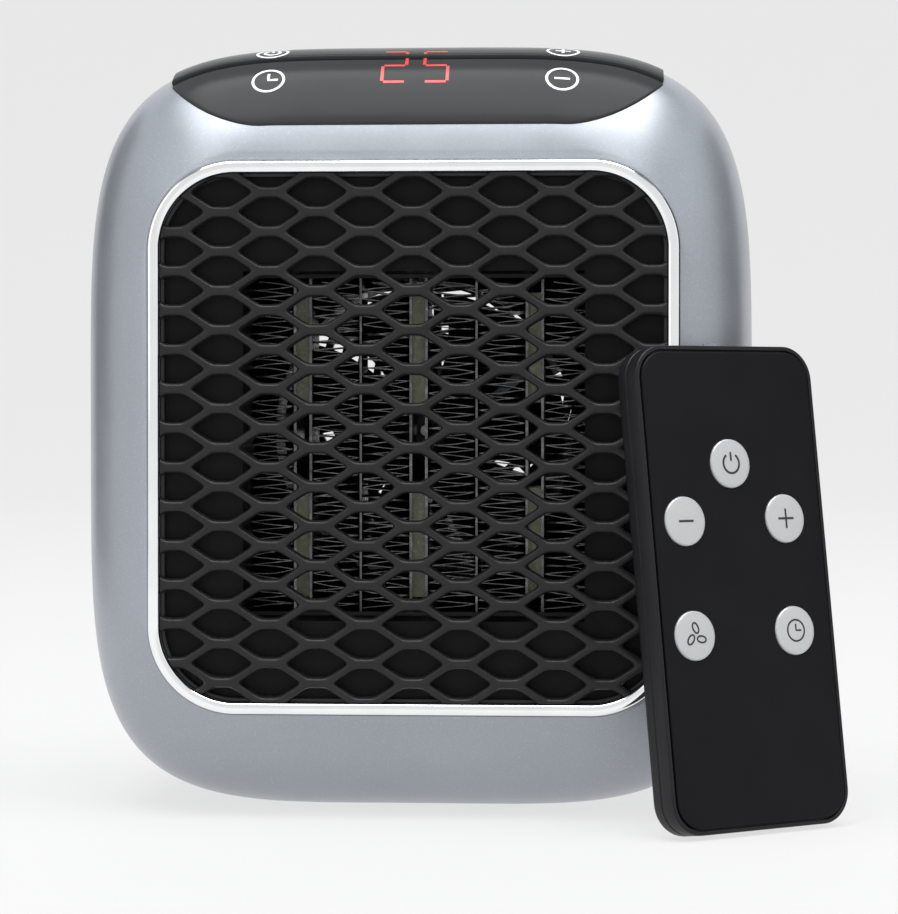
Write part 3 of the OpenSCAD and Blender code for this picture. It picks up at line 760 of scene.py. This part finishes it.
def rear_outside():
    """Sections from the edge at the seam to the end of the round back edge."""
    edge = 0.45
    steps = 16
    sections = []
    for run, rise in quarter(4):
        sections.append(rear_section(REAR_START + edge * rise, edge * (1 - run)))
    for k in range(1, steps + 1):
        sections.append(rear_section(blend(REAR_START + edge, REAR_ROUND_Y, k / steps)))
    for run, rise in quarter(14)[1:]:
        y = REAR_ROUND_Y + REAR_ROUND_R * run
        sections.append(at_depth(rear_section(REAR_ROUND_Y, REAR_ROUND_R * rise), y))
    return sections


def cover_section(outset, depth):
    """The back cover's outline, let out by outset, at a depth under the back."""
    return oval_section(BACK_Y - depth, (COVER_A + outset, COVER_B + outset), 0)


def rear_housing():
    """The rear shell, with the recess and ledge for the back cover and a tongue at the seam."""
    gap = 0.2
    rim_edge = 0.15
    ledge_w = 2.6
    ledge_depth = 2.7
    ledge_t = 2.0
    tongue = 2
    sections = rear_outside()
    recess = ((gap + rim_edge, 0), (gap, rim_edge), (gap, ledge_depth))
    ledge = ((gap - ledge_w, ledge_depth), (gap - ledge_w, ledge_depth + ledge_t))
    sections += [cover_section(outset, depth) for outset, depth in recess + ledge]
    sections.append(rear_section(REAR_ROUND_Y + 1.5, WALL + 0.6))
    sections += [rear_section(y, WALL) for y in (27, 16, REAR_START - tongue)]
    sections += [rear_section(y, JOINT_INSET + 0.1) for y in (REAR_START - tongue, REAR_START)]
    shape = loft([ring_of(s) for s in sections], wrap=True)
    piece("rear_housing_shell", shape, "rear_shell", "rear_housing")


def chrome_trim():
    """A bright ring with a rounded front, swept round the opening."""
    inset = 0.1
    half_w = 1.0
    side_y = FRONT_Y - 0.5
    crown = 0.5
    back_y = FRONT_Y + 3.2
    steps = 12
    profile = [(0.0, back_y)]
    for k in range(steps + 1):
        a = pi * k / steps
        profile.append((half_w - half_w * cos(a), side_y - crown * sin(a)))
    profile.append((2 * half_w, back_y))
    shape = loft([opening_ring(inset + across, y) for across, y in profile], wrap=True)
    piece("chrome_trim_ring", shape, "trim_chrome", "chrome_trim")


front_bezel()
rear_housing()
chrome_trim()

# ---- front grille

PITCH_X = 17.3
PITCH_Z = 7.1
LATTICE_Z = 70.8
CREST_FLAT = 3.7
HOLE_HALF_W = 5.6
HOLE_HALF_FLAT = 1.65
HOLE_HALF_H = 2.50
SIDE_POINTS = 8
GRILLE_INSET = 2.2
GRILLE_BACK_Y = FRONT_Y + 3.0
KEYS_PER_MM = 800


def polygon_points(corners):
    """Corners with more points along each side."""
    out = []
    for (x0, z0), (x1, z1) in pairs_round(corners):
        out += line(x0, z0, x1, z1, SIDE_POINTS)[:-1]
    return out


def smoothed(loop, passes):
    """The closed loop of points with its corners rounded by averaging neighbours."""
    for _ in range(passes):
        ahead = loop[1:] + loop[:1]
        behind = loop[-1:] + loop[:-1]
        loop = [
            ((a[0] + 2 * b[0] + c[0]) / 4, (a[1] + 2 * b[1] + c[1]) / 4)
            for a, b, c in zip(behind, loop, ahead)
        ]
    return loop


def hexagon(half_width, half_flat, half_height):
    """The six corners of an opening that is pointed at both sides."""
    return [
        (-half_width, 0.0), (-half_flat, -half_height), (half_flat, -half_height),
        (half_width, 0.0), (half_flat, half_height), (-half_flat, half_height),
    ]


class SharedPoints:
    """A list of points that stores a place once, so that neighbouring tiles join."""

    def __init__(self):
        self.numbers = {}
        self.places = []

    def number(self, x, y, z):
        key = (round(x * KEYS_PER_MM), round(y * KEYS_PER_MM), round(z * KEYS_PER_MM))
        if key not in self.numbers:
            self.numbers[key] = len(self.places)
            self.places.append((x, y, z))
        return self.numbers[key]


def rib_levels():
    """(share of the way from a tile's edge to its hole, y) over a rib's crown and down its side."""
    crown_share = 0.35
    crown_drop = 0.04
    edge_drop = 1.1
    levels = [(0.0, FRONT_Y)]
    for run, rise in quarter(5):
        levels.append((blend(crown_share, 1, run), FRONT_Y + crown_drop + edge_drop * rise))
    levels.append((1.0, GRILLE_BACK_Y))
    levels.append((0.0, GRILLE_BACK_Y))
    return levels


def tile_rows(points, cx, cz, tile, hole):
    """Rows of point numbers round one opening, from the middle of its ribs to the flat back."""
    rows = []
    for share, y in rib_levels():
        row = []
        for (tx, tz), (hx, hz) in zip(tile, hole):
            row.append(points.number(cx + tx + (hx - tx) * share, y, cz + tz + (hz - tz) * share))
        rows.append(row)
    return rows


def lattice():
    """The whole field of six-sided openings, wider than the opening it is cut to."""
    tile = polygon_points(hexagon((PITCH_X - CREST_FLAT) / 2, CREST_FLAT / 2, PITCH_Z / 2))
    hole = smoothed(polygon_points(hexagon(HOLE_HALF_W, HOLE_HALF_FLAT, HOLE_HALF_H)), 3)
    points = SharedPoints()
    faces = []
    edge_use = {}
    for i in range(-6, 7):
        for j in range(-8, 9):
            cx = i * PITCH_X / 2
            cz = LATTICE_Z + (j + (i % 2) / 2) * PITCH_Z
            rows = tile_rows(points, cx, cz, tile, hole)
            for a, b in zip(rows, rows[1:]):
                faces += [(*front, *back[::-1]) for front, back in zip(pairs_round(a), pairs_round(b))]
            for front, back in zip(pairs_round(rows[0]), pairs_round(rows[-1])):
                edge_use.setdefault(frozenset(front), []).append((front, back))
    for uses in edge_use.values():
        if len(uses) == 1:
            front, back = uses[0]
            faces.append((*front[::-1], *back))
    return points.places, faces


def front_grille():
    """The lattice, cut to the opening's shape, and the plain rim round it."""
    grille = piece("front_grille_lattice", lattice(), "grille_black", "front_grille", sharp=50)
    overlap = 0.02
    ends = (FRONT_Y - 5, FRONT_Y + 10)
    field = loft([opening_ring(GRILLE_INSET + overlap, y, 160) for y in ends], caps=True)
    boolean(grille, cutting_tool(field), "INTERSECT")
    rim_y = FRONT_Y + 1.9
    rim_w = 0.62
    edge = 0.12
    rim = [
        (0.0, GRILLE_BACK_Y),
        (0.0, rim_y),
        (rim_w - edge, rim_y),
        (rim_w, rim_y + edge),
        (rim_w, GRILLE_BACK_Y),
    ]
    shape = loft([opening_ring(GRILLE_INSET + across, y, 240) for across, y in rim], wrap=True)
    piece("front_grille_rim", shape, "grille_black")


front_grille()

# ---- heating core fins

CORE_Z = 67.5
CORE_H = 62.0
CORE_FRONT_Y = -21.8
CORE_D = 14.0
CORE_EDGE = 31.5
BAR_PITCH = 21.6
BAR_EDGE = 1.8
DIVIDER_EDGE = 0.3
FIN_PITCH = 1.6
FOIL_T = 0.14


def fold_path(rng, x0, x1):
    """(x, z, bend of the front edge) along a strip that is folded to and fro between x0 and x1."""
    folds = int((CORE_H - 1) / (FIN_PITCH / 2))
    low = CORE_Z - folds * FIN_PITCH / 4
    steps = 5
    path = []
    for i in range(folds):
        start, end = (x0, x1) if i % 2 == 0 else (x1, x0)
        bow = rng.uniform(-0.22, 0.22)
        lean = rng.uniform(-0.18, 0.18)
        bend = rng.uniform(-0.30, 0.30)
        for k in range(steps):
            s = k / steps
            arch = sin(pi * s)
            z = low + (i + s) * FIN_PITCH / 2 + arch * bow + (s - 0.5) * lean
            path.append((start + (end - start) * s, z, bend * arch))
    return path


def fin_strip(rng, x0, x1):
    """A folded foil ribbon between two plates, with uneven folds and a wavy front edge."""
    rows = 5
    path = fold_path(rng, x0, x1)
    top = []
    under = []
    for row in range(rows):
        share = row / (rows - 1)
        fade = (1 - share) ** 2
        y = CORE_FRONT_Y + 0.2 + (CORE_D - 0.6) * share
        top.append([(x, y, z + bend * fade + FOIL_T / 2) for x, z, bend in path])
        under.append([(x, y, z + bend * fade - FOIL_T / 2) for x, z, bend in path])
    return slab(top, under)


def ptc_fins():
    """Six strips in the gaps between the outer plates, the ceramic bars and their dividers."""
    rng = random.Random(11)
    half = BAR_PITCH / 2
    right = [
        (BAR_EDGE, half - DIVIDER_EDGE),
        (half + DIVIDER_EDGE, BAR_PITCH - BAR_EDGE),
        (BAR_PITCH + BAR_EDGE, CORE_EDGE),
    ]
    spans = [(-x1, -x0) for x0, x1 in reversed(right)] + right
    strips = join([fin_strip(rng, x0, x1) for x0, x1 in spans])
    piece("ptc_fin_strips", strips, "fin_aluminium", "ptc_fins", sharp=25)


ptc_fins()

# ---- control panel

PANEL_LOW = 0.30
PANEL_TIP = 0.88
PANEL_BACK = 0.55
PANEL_END_BACK = 0.49
PANEL_STRAIGHT = 27.6
PANEL_END = 17.8
PANEL_CURVE = 1.8
PANEL_REACH = 0.985
PANEL_PROUD = 0.93
PANEL_FLUSH = 0.30
CREASE = swell_depth(PANEL_TIP)
KEY_X = 26.8
KEY_LOW_Y = -32.2
KEY_HIGH_Y = -24.3
KEY_RING_R = 2.83
KEY_LINE = 0.50
DIGIT_LOW_Y = -32.9
DIGIT_HIGH_Y = -25.5
DIGIT_W = 4.3
DIGIT_LEFTS = {"two": -6.0, "five": 1.6}
DIGIT_LINE = 0.62
DIGIT_GAP = 0.25


def crown_point(x, t):
    """The top of the front shell at x, at depth share t."""
    y, half, corner, centre, power, _ = front_section(t)
    d = max(0, abs(x) - half[0] + corner[0]) / corner[0]
    return Vector((x, y, centre + half[1] - corner[1] * (1 - (1 - d ** power) ** (1 / power))))


def lifted(x, t, lift):
    """A point lifted off the shell along its own normal."""
    step_x = 0.1
    step_t = 0.004
    across = crown_point(x + step_x, t) - crown_point(x - step_x, t)
    along = crown_point(x, t + step_t) - crown_point(x, t - step_t)
    return crown_point(x, t) + lift * across.cross(along).normalized()


def panel_edges(x):
    """Depth shares of the panel's front and back edges at x."""
    least_slope = 0.006
    d = max(0, abs(x) - PANEL_STRAIGHT) / PANEL_END
    rise = d ** PANEL_CURVE
    low = swell_depth(blend(PANEL_LOW, PANEL_TIP, rise))
    return min(low, CREASE - least_slope), blend(PANEL_BACK, PANEL_END_BACK, rise)


def panel_lift(t):
    """How far the panel stands off the shell: flush on its slope, then a step up to its top band."""
    return PANEL_FLUSH if t < CREASE else PANEL_PROUD


def panel_rows(low, high, width):
    """(depth share, lift) pairs from the panel's front edge, over the crease, to its back edge."""
    per_mm = (high - low) / width
    sunk = 0.03
    front_rim = 0.35
    back_rim = 0.7
    step_r = 0.35
    step_low = 0.10
    slope_margin = 0.55
    groove = ((0.30, 0.12), (0.05, 0.05))
    rows = []
    for run, rise in quarter(4):
        rows.append((low + front_rim * rise * per_mm, sunk + (PANEL_FLUSH - sunk) * run))
    slope_start = rows[-1][0]
    slope_end = CREASE - slope_margin * per_mm
    rows += [(blend(slope_start, slope_end, k / 14), PANEL_FLUSH) for k in range(1, 15)]
    rows += [(CREASE - before * per_mm, lift) for before, lift in groove]
    for run, rise in quarter(4):
        rows.append((CREASE + step_r * rise * per_mm, step_low + (PANEL_PROUD - step_low) * run))
    band_start = rows[-1][0]
    band_end = high - back_rim * per_mm
    rows += [(blend(band_start, band_end, k / 12), PANEL_PROUD) for k in range(1, 13)]
    for run, rise in quarter(4)[1:]:
        rows.append((band_end + back_rim * run * per_mm, PANEL_PROUD - (PANEL_PROUD - sunk) * rise))
    return rows


def control_panel():
    """The black panel: a flush slope with the display behind it, and a proud band behind a crease."""
    columns = 140
    half = PANEL_STRAIGHT + PANEL_END * PANEL_REACH
    end_rim = 0.35
    end_lift = 0.15
    under_lift = 0.01
    top = []
    under = []
    for i in range(columns + 1):
        x = half * sin(pi / 2 * (2 * i / columns - 1))
        low, high = panel_edges(x)
        width = (crown_point(x, high) - crown_point(x, low)).length
        rows = panel_rows(low, high, width)
        d = min(1.0, (half - abs(x)) / end_rim)
        share = blend(end_lift, 1, sqrt(1 - (1 - d) ** 2))
        top.append([lifted(x, t, lift * share) for t, lift in rows])
        under.append([lifted(x, t, under_lift) for t, _ in rows])
    piece("control_panel_lens", slab(top, under), "panel_black", "control_panel")


def slope_table():
    """(depth share, distance up the slope) pairs along the middle of the panel."""
    start = 0.02
    reach = 0.7
    steps = 240
    table = [(start, 0.0)]
    previous = crown_point(0, start)
    travelled = 0.0
    for k in range(1, steps + 1):
        t = start + reach * k / steps
        point = crown_point(0, t)
        travelled += (point - previous).length
        table.append((t, travelled))
        previous = point
    return table


SLOPE = slope_table()


def depth_at(distance):
    """The depth share at a distance up the slope."""
    for (t0, d0), (t1, d1) in zip(SLOPE, SLOPE[1:]):
        if d1 >= distance:
            return t0 + (t1 - t0) * (distance - d0) / (d1 - d0)
    return SLOPE[-1][0]


def distance_at_y(y):
    """The distance up the slope where the shell under the panel is at y."""
    for t, distance in SLOPE[1:]:
        if crown_point(0, t).y >= y:
            return distance
    return SLOPE[-1][1]


def panel_place(cx, row):
    """A function that puts x, y and lift, from a centre at cx and row, on the panel."""

    def place(x, y, lift):
        t = depth_at(row + y)
        return lifted(cx + x, t, panel_lift(t) + lift)

    return place


def stroke(path, width, place, closed=False, low=-0.05, high=0.03):
    """A flat raised line along path; place(x, y, lift) puts a point of it on the surface."""
    top_share = 0.94
    count = len(path)
    rings = []
    for i, (x, y) in enumerate(path):
        ahead = path[(i + 1) % count] if closed else path[min(i + 1, count - 1)]
        behind = path[i - 1] if closed else path[max(i - 1, 0)]
        run = Vector((ahead[0] - behind[0], ahead[1] - behind[1])).normalized()
        side = Vector((-run.y, run.x)) * width / 2
        corners = ((1, low), (top_share, high), (-top_share, high), (-1, low))
        rings.append([place(x + side.x * out, y + side.y * out, lift) for out, lift in corners])
    return loft(rings, wrap=closed, caps=not closed)


def ring_mark(r):
    return arc(0, 0, r, 0, 360)[:-1]


def power_mark(r):
    """A broken ring with a line through the gap, as open paths."""
    return [arc(0, 0, r, 125, 415), line(0, r * 0.25, 0, r * 1.15)]


def clock_hands(r):
    return [[(0, r * 0.62), (0, r * 0.3), (0, 0), (r * 0.3, 0), (r * 0.62, 0)]]


def minus_mark(r):
    return [line(-r, 0, r, 0)]


def plus_mark(r):
    return [line(-r, 0, r, 0), line(0, -r, 0, r)]


def panel_marks():
    """The four touch keys' rings and signs."""
    low_row = distance_at_y(KEY_LOW_Y)
    high_row = distance_at_y(KEY_HIGH_Y)
    small = KEY_RING_R / 2
    glyphs = [
        (-KEY_X, low_row, clock_hands(KEY_RING_R)),
        (KEY_X, low_row, minus_mark(small)),
        (-KEY_X, high_row, power_mark(small)),
        (KEY_X, high_row, plus_mark(small)),
    ]
    parts = []
    for cx, row, paths in glyphs:
        place = panel_place(cx, row)
        parts.append(stroke(ring_mark(KEY_RING_R), KEY_LINE, place, closed=True))
        parts += [stroke(path, KEY_LINE, place) for path in paths]
    piece("panel_key_marks", join(parts), "panel_black", look="mark_white", sharp=30)


SEGMENTS = {
    "top": ((0, 1), (1, 1)),
    "upper_right": ((1, 1), (1, 0.5)),
    "lower_right": ((1, 0.5), (1, 0)),
    "bottom": ((0, 0), (1, 0)),
    "lower_left": ((0, 0), (0, 0.5)),
    "upper_left": ((0, 0.5), (0, 1)),
    "middle": ((0, 0.5), (1, 0.5)),
}
DIGITS = {
    "two": ["top", "upper_right", "middle", "lower_left", "bottom"],
    "five": ["top", "upper_left", "middle", "lower_right", "bottom"],
}


def digit_segments(name, width, height, gap):
    """The lit segments of one digit as short open paths."""
    paths = []
    for segment in DIGITS[name]:
        start, end = (Vector((x * width, y * height)) for x, y in SEGMENTS[segment])
        run = (end - start).normalized() * gap
        paths.append(line(*(start + run), *(end - run), 5))
    return paths


def panel_digits():
    """The two lit digits behind the slope."""
    low = distance_at_y(DIGIT_LOW_Y)
    height = distance_at_y(DIGIT_HIGH_Y) - low
    parts = []
    for name, left in DIGIT_LEFTS.items():
        place = panel_place(left, low)
        for path in digit_segments(name, DIGIT_W, height, DIGIT_GAP):
            parts.append(stroke(path, DIGIT_LINE, place))
    piece("panel_digits", join(parts), "led_red", look="digit_red", sharp=30)


control_panel()
panel_marks()
panel_digits()

# ---- fan impeller

FAN_Y = 2.0
FAN_Z = 70.0
FAN_R = 27.0
FAN_FRONT = 6.2
FAN_BACK = 6.8
HUB_R = 8.0
HUB_SECTION = [
    (1.03, -1.9), (2.6, -2.3), (5.2, -2.1), (7.0, -1.2), (7.8, 0.2), (HUB_R, 2.0), (HUB_R, 6.3),
    (7.8, 6.5), (6.6, 6.4), (6.6, 0.5), (2.6, 0.5), (2.6, 6.4), (1.03, 6.4),
]
BLADES = 7


def blade_ring(turn, s):
    """A blade's cross-section, laid round the hub, at share s of the way to its tip."""
    r = HUB_R - 0.8 + (FAN_R - HUB_R + 0.7) * s
    chord = 11.0 + 12.0 * s
    pitch = radians(46 - 22 * s)
    thick = 1.15 - 0.45 * s
    sweep = radians(10) * s * s
    ring = []
    for a in full_turn(20):
        u = cos(a) / 2
        side = sin(a) / 2 * (1 - 0.35 * u)
        camber = 0.9 * (1 - 4 * u * u)
        along = u * chord
        off = side * thick + camber
        y = along * sin(pitch) - off * cos(pitch)
        arc_length = along * cos(pitch) + off * sin(pitch)
        angle = turn + sweep + arc_length / r
        y = FAN_Y + max(-FAN_FRONT, min(FAN_BACK, y))
        ring.append((r * cos(angle), y, FAN_Z + r * sin(angle)))
    return ring


def blade(turn):
    """One twisted, cambered blade, from inside the hub to the tip."""
    spans = 12
    return loft([blade_ring(turn, i / spans) for i in range(spans + 1)], caps=True)


def fan_impeller():
    """A hollow hub with a rounded nose, and its blades."""
    turn = full_turn(64)
    rings = [[(r * cos(a), y, FAN_Z + r * sin(a)) for a in turn] for r, y in HUB_SECTION]
    parts = [loft(rings, wrap=True)]
    parts += [blade(2 * pi * k / BLADES) for k in range(BLADES)]
    piece("fan_impeller_blades", join(parts), "impeller_grey", "fan_impeller", body="fan")


fan_impeller()

# ---- remote

REMOTE_W = 39.5
REMOTE_L = 85.5
REMOTE_T = 6.5
REMOTE_CORNER = 6.0
REMOTE_PLACE = (
    Matrix.Translation((59.1, -48.6, 0.0))
    @ Matrix.Rotation(radians(36.5), 4, "Z")
    @ Matrix.Rotation(radians(90 - 8.2), 4, "X")
)
BUTTON_R = 4.35
BUTTON_LOW = 5.1
BUTTON_TOP = 7.0
FLANGE_W = 0.6
FLANGE_T = 0.3
CAP_EDGE = 0.35
CAP_DOME = 0.10
CAP_RIM_R = BUTTON_R - CAP_EDGE
CAP_RIM_Z = BUTTON_TOP - 0.03 - CAP_DOME
CASE_WALL = 0.8
FACE_GAP = 0.3
TRAY_SLOT = (-12.0, 12.0, -1.0, 3.0, 1.3, 4.3)
LAMP_R = 1.6
LAMP_Z = 3.0
BUTTONS = {
    "power": (-1.0, 64.4),
    "minus": (-12.1, 54.4),
    "plus": (10.3, 54.4),
    "speed": (-12.1, 34.4),
    "timer": (10.3, 34.4),
}


def on_remote(shape):
    """A shape moved from the remote's own frame, with its back down, to where the remote leans."""
    points, faces = shape
    return [REMOTE_PLACE @ Vector(p) for p in points], faces


def remote_outline(inset, z):
    """The remote's outline at height z, drawn in by inset."""
    r = REMOTE_CORNER - inset
    half_w = REMOTE_W / 2 - inset - r
    half_l = REMOTE_L / 2 - inset - r
    corners = ((half_w, half_l, 0), (-half_w, half_l, 90), (-half_w, -half_l, 180), (half_w, -half_l, 270))
    out = []
    for cx, cy, start in corners:
        out += [(x, y + REMOTE_L / 2, z) for x, y in arc(cx, cy, r, start, start + 90, 14)]
    return out


def box(x0, x1, y0, y1, z0, z1):
    rings = [[(x0, y0, z), (x1, y0, z), (x1, y1, z), (x0, y1, z)] for z in (z0, z1)]
    return loft(rings, caps=True)


def cut_from_remote(target, shape):
    """Cuts a shape, given in the remote's own frame, out of a piece."""
    boolean(target, cutting_tool(on_remote(shape)), "DIFFERENCE")


def case_rings():
    """The case from its round back edge, past the parting groove and over the lip, to its floor."""
    back_r = 1.3
    floor_z = 1.2
    groove_z = 3.1
    shelf_z = 5.4
    lip_z = REMOTE_T - 0.3
    lip_r = 0.3
    groove = ((0, -0.22), (0.16, -0.08), (0.16, 0.08), (0, 0.22))
    mouth = ((-0.1, lip_z), (0, lip_z - 0.1), (0, shelf_z), (1, shelf_z), (1, floor_z))
    rings = [remote_outline(back_r * (1 - run), back_r * rise) for run, rise in quarter(6)]
    rings += [remote_outline(inset, groove_z + z) for inset, z in groove]
    rings += [remote_outline(lip_r * rise, lip_z - lip_r * (1 - run)) for run, rise in quarter(4)]
    rings += [remote_outline(CASE_WALL + inset, z) for inset, z in mouth]
    return rings


def remote_case():
    """A tray-shaped case with an open front, a slot for the battery tray and a hole for the lamp."""
    shape = on_remote(loft(case_rings(), caps=True))
    case = piece("remote_case_shell", shape, "remote_black", "remote_case", body="remote")
    cut_from_remote(case, box(*TRAY_SLOT))
    turn = full_turn(32)
    ends = (REMOTE_L - 3, REMOTE_L + 1)
    hole = [[(LAMP_R * cos(a), y, LAMP_Z + LAMP_R * sin(a)) for a in turn] for y in ends]
    cut_from_remote(case, loft(hole, caps=True))


def round_points(spot, r, z, count):
    """A circle on the remote's front, at height z."""
    return [(spot[0] + r * cos(a), spot[1] + r * sin(a), z) for a in full_turn(count)]


def remote_face():
    """The thin top sheet, with a round hole for each button."""
    edge = 0.35
    sheet_t = 1.0
    clearance = 0.12
    inset = CASE_WALL + FACE_GAP
    rings = [remote_outline(inset, REMOTE_T - sheet_t)]
    for run, rise in quarter(4):
        rings.append(remote_outline(inset + edge * rise, REMOTE_T - edge * (1 - run)))
    shape = on_remote(loft(rings, caps=True))
    face = piece("remote_face_sheet", shape, "remote_face_black", "remote_face", body="remote")
    ends = (REMOTE_T - 1.5, REMOTE_T + 1.5)
    holes = []
    for spot in BUTTONS.values():
        holes.append(loft([round_points(spot, BUTTON_R + clearance, z, 64) for z in ends], caps=True))
    cut_from_remote(face, join(holes))


def fan_mark(r):
    """Three swept blades, as closed teardrop outlines."""
    paths = []
    for k in range(3):
        turn = radians(90 + 120 * k)
        petal = []
        for a in full_turn(16):
            along = r * (0.58 + 0.40 * cos(a))
            side = r * 0.26 * sin(a) + 0.10 * r * cos(a)
            x = along * cos(turn) - side * sin(turn)
            y = along * sin(turn) + side * cos(turn)
            petal.append((x, y))
        paths.append(petal)
    return paths


def button_strokes(name):
    """(path, line width, closed) for each line of a button's mark."""
    fine = 0.34
    bold = 0.42
    if name == "speed":
        return [(path, fine, True) for path in fan_mark(2.3)]
    if name == "timer":
        hands = [(path, fine, False) for path in clock_hands(1.9)]
        return hands + [(ring_mark(1.9), fine, True)]
    signs = {"power": power_mark(1.75), "minus": minus_mark(1.6), "plus": plus_mark(1.75)}
    return [(path, bold, False) for path in signs[name]]


def cap_height(r):
    """The height of a cap's dome at r from its middle."""
    return CAP_RIM_Z + CAP_DOME * (1 - (r / CAP_RIM_R) ** 2)


def cap_profile():
    """(radius, height) of a cap, from its flange to near the middle of its dome."""
    flange_r = BUTTON_R + FLANGE_W
    flange_z = BUTTON_LOW + FLANGE_T
    profile = [(flange_r, BUTTON_LOW), (flange_r, flange_z), (BUTTON_R, flange_z)]
    for run, rise in quarter(5):
        profile.append((BUTTON_R - CAP_EDGE * rise, CAP_RIM_Z - CAP_EDGE * (1 - run)))
    for k in range(1, 8):
        r = CAP_RIM_R * (1 - k / 8)
        profile.append((r, cap_height(r)))
    return profile


def remote_button(name, spot):
    """A domed cap with a flange under the face, and its mark printed on top."""
    body = "button_" + name
    cap = on_remote(loft([round_points(spot, r, z, 72) for r, z in cap_profile()], caps=True))
    piece("button_cap_" + name, cap, "button_silver", "remote_button_" + name, body=body)

    def place(x, y, lift):
        height = cap_height(min(CAP_RIM_R, hypot(x, y)))
        return REMOTE_PLACE @ Vector((spot[0] + x, spot[1] + y, height + lift))

    mark = join([stroke(path, width, place, closed) for path, width, closed in button_strokes(name)])
    piece("button_mark_" + name, mark, "button_silver", body=body, look="mark_black", sharp=30)


remote_case()
remote_face()
for button_name, button_spot in BUTTONS.items():
    remote_button(button_name, button_spot)
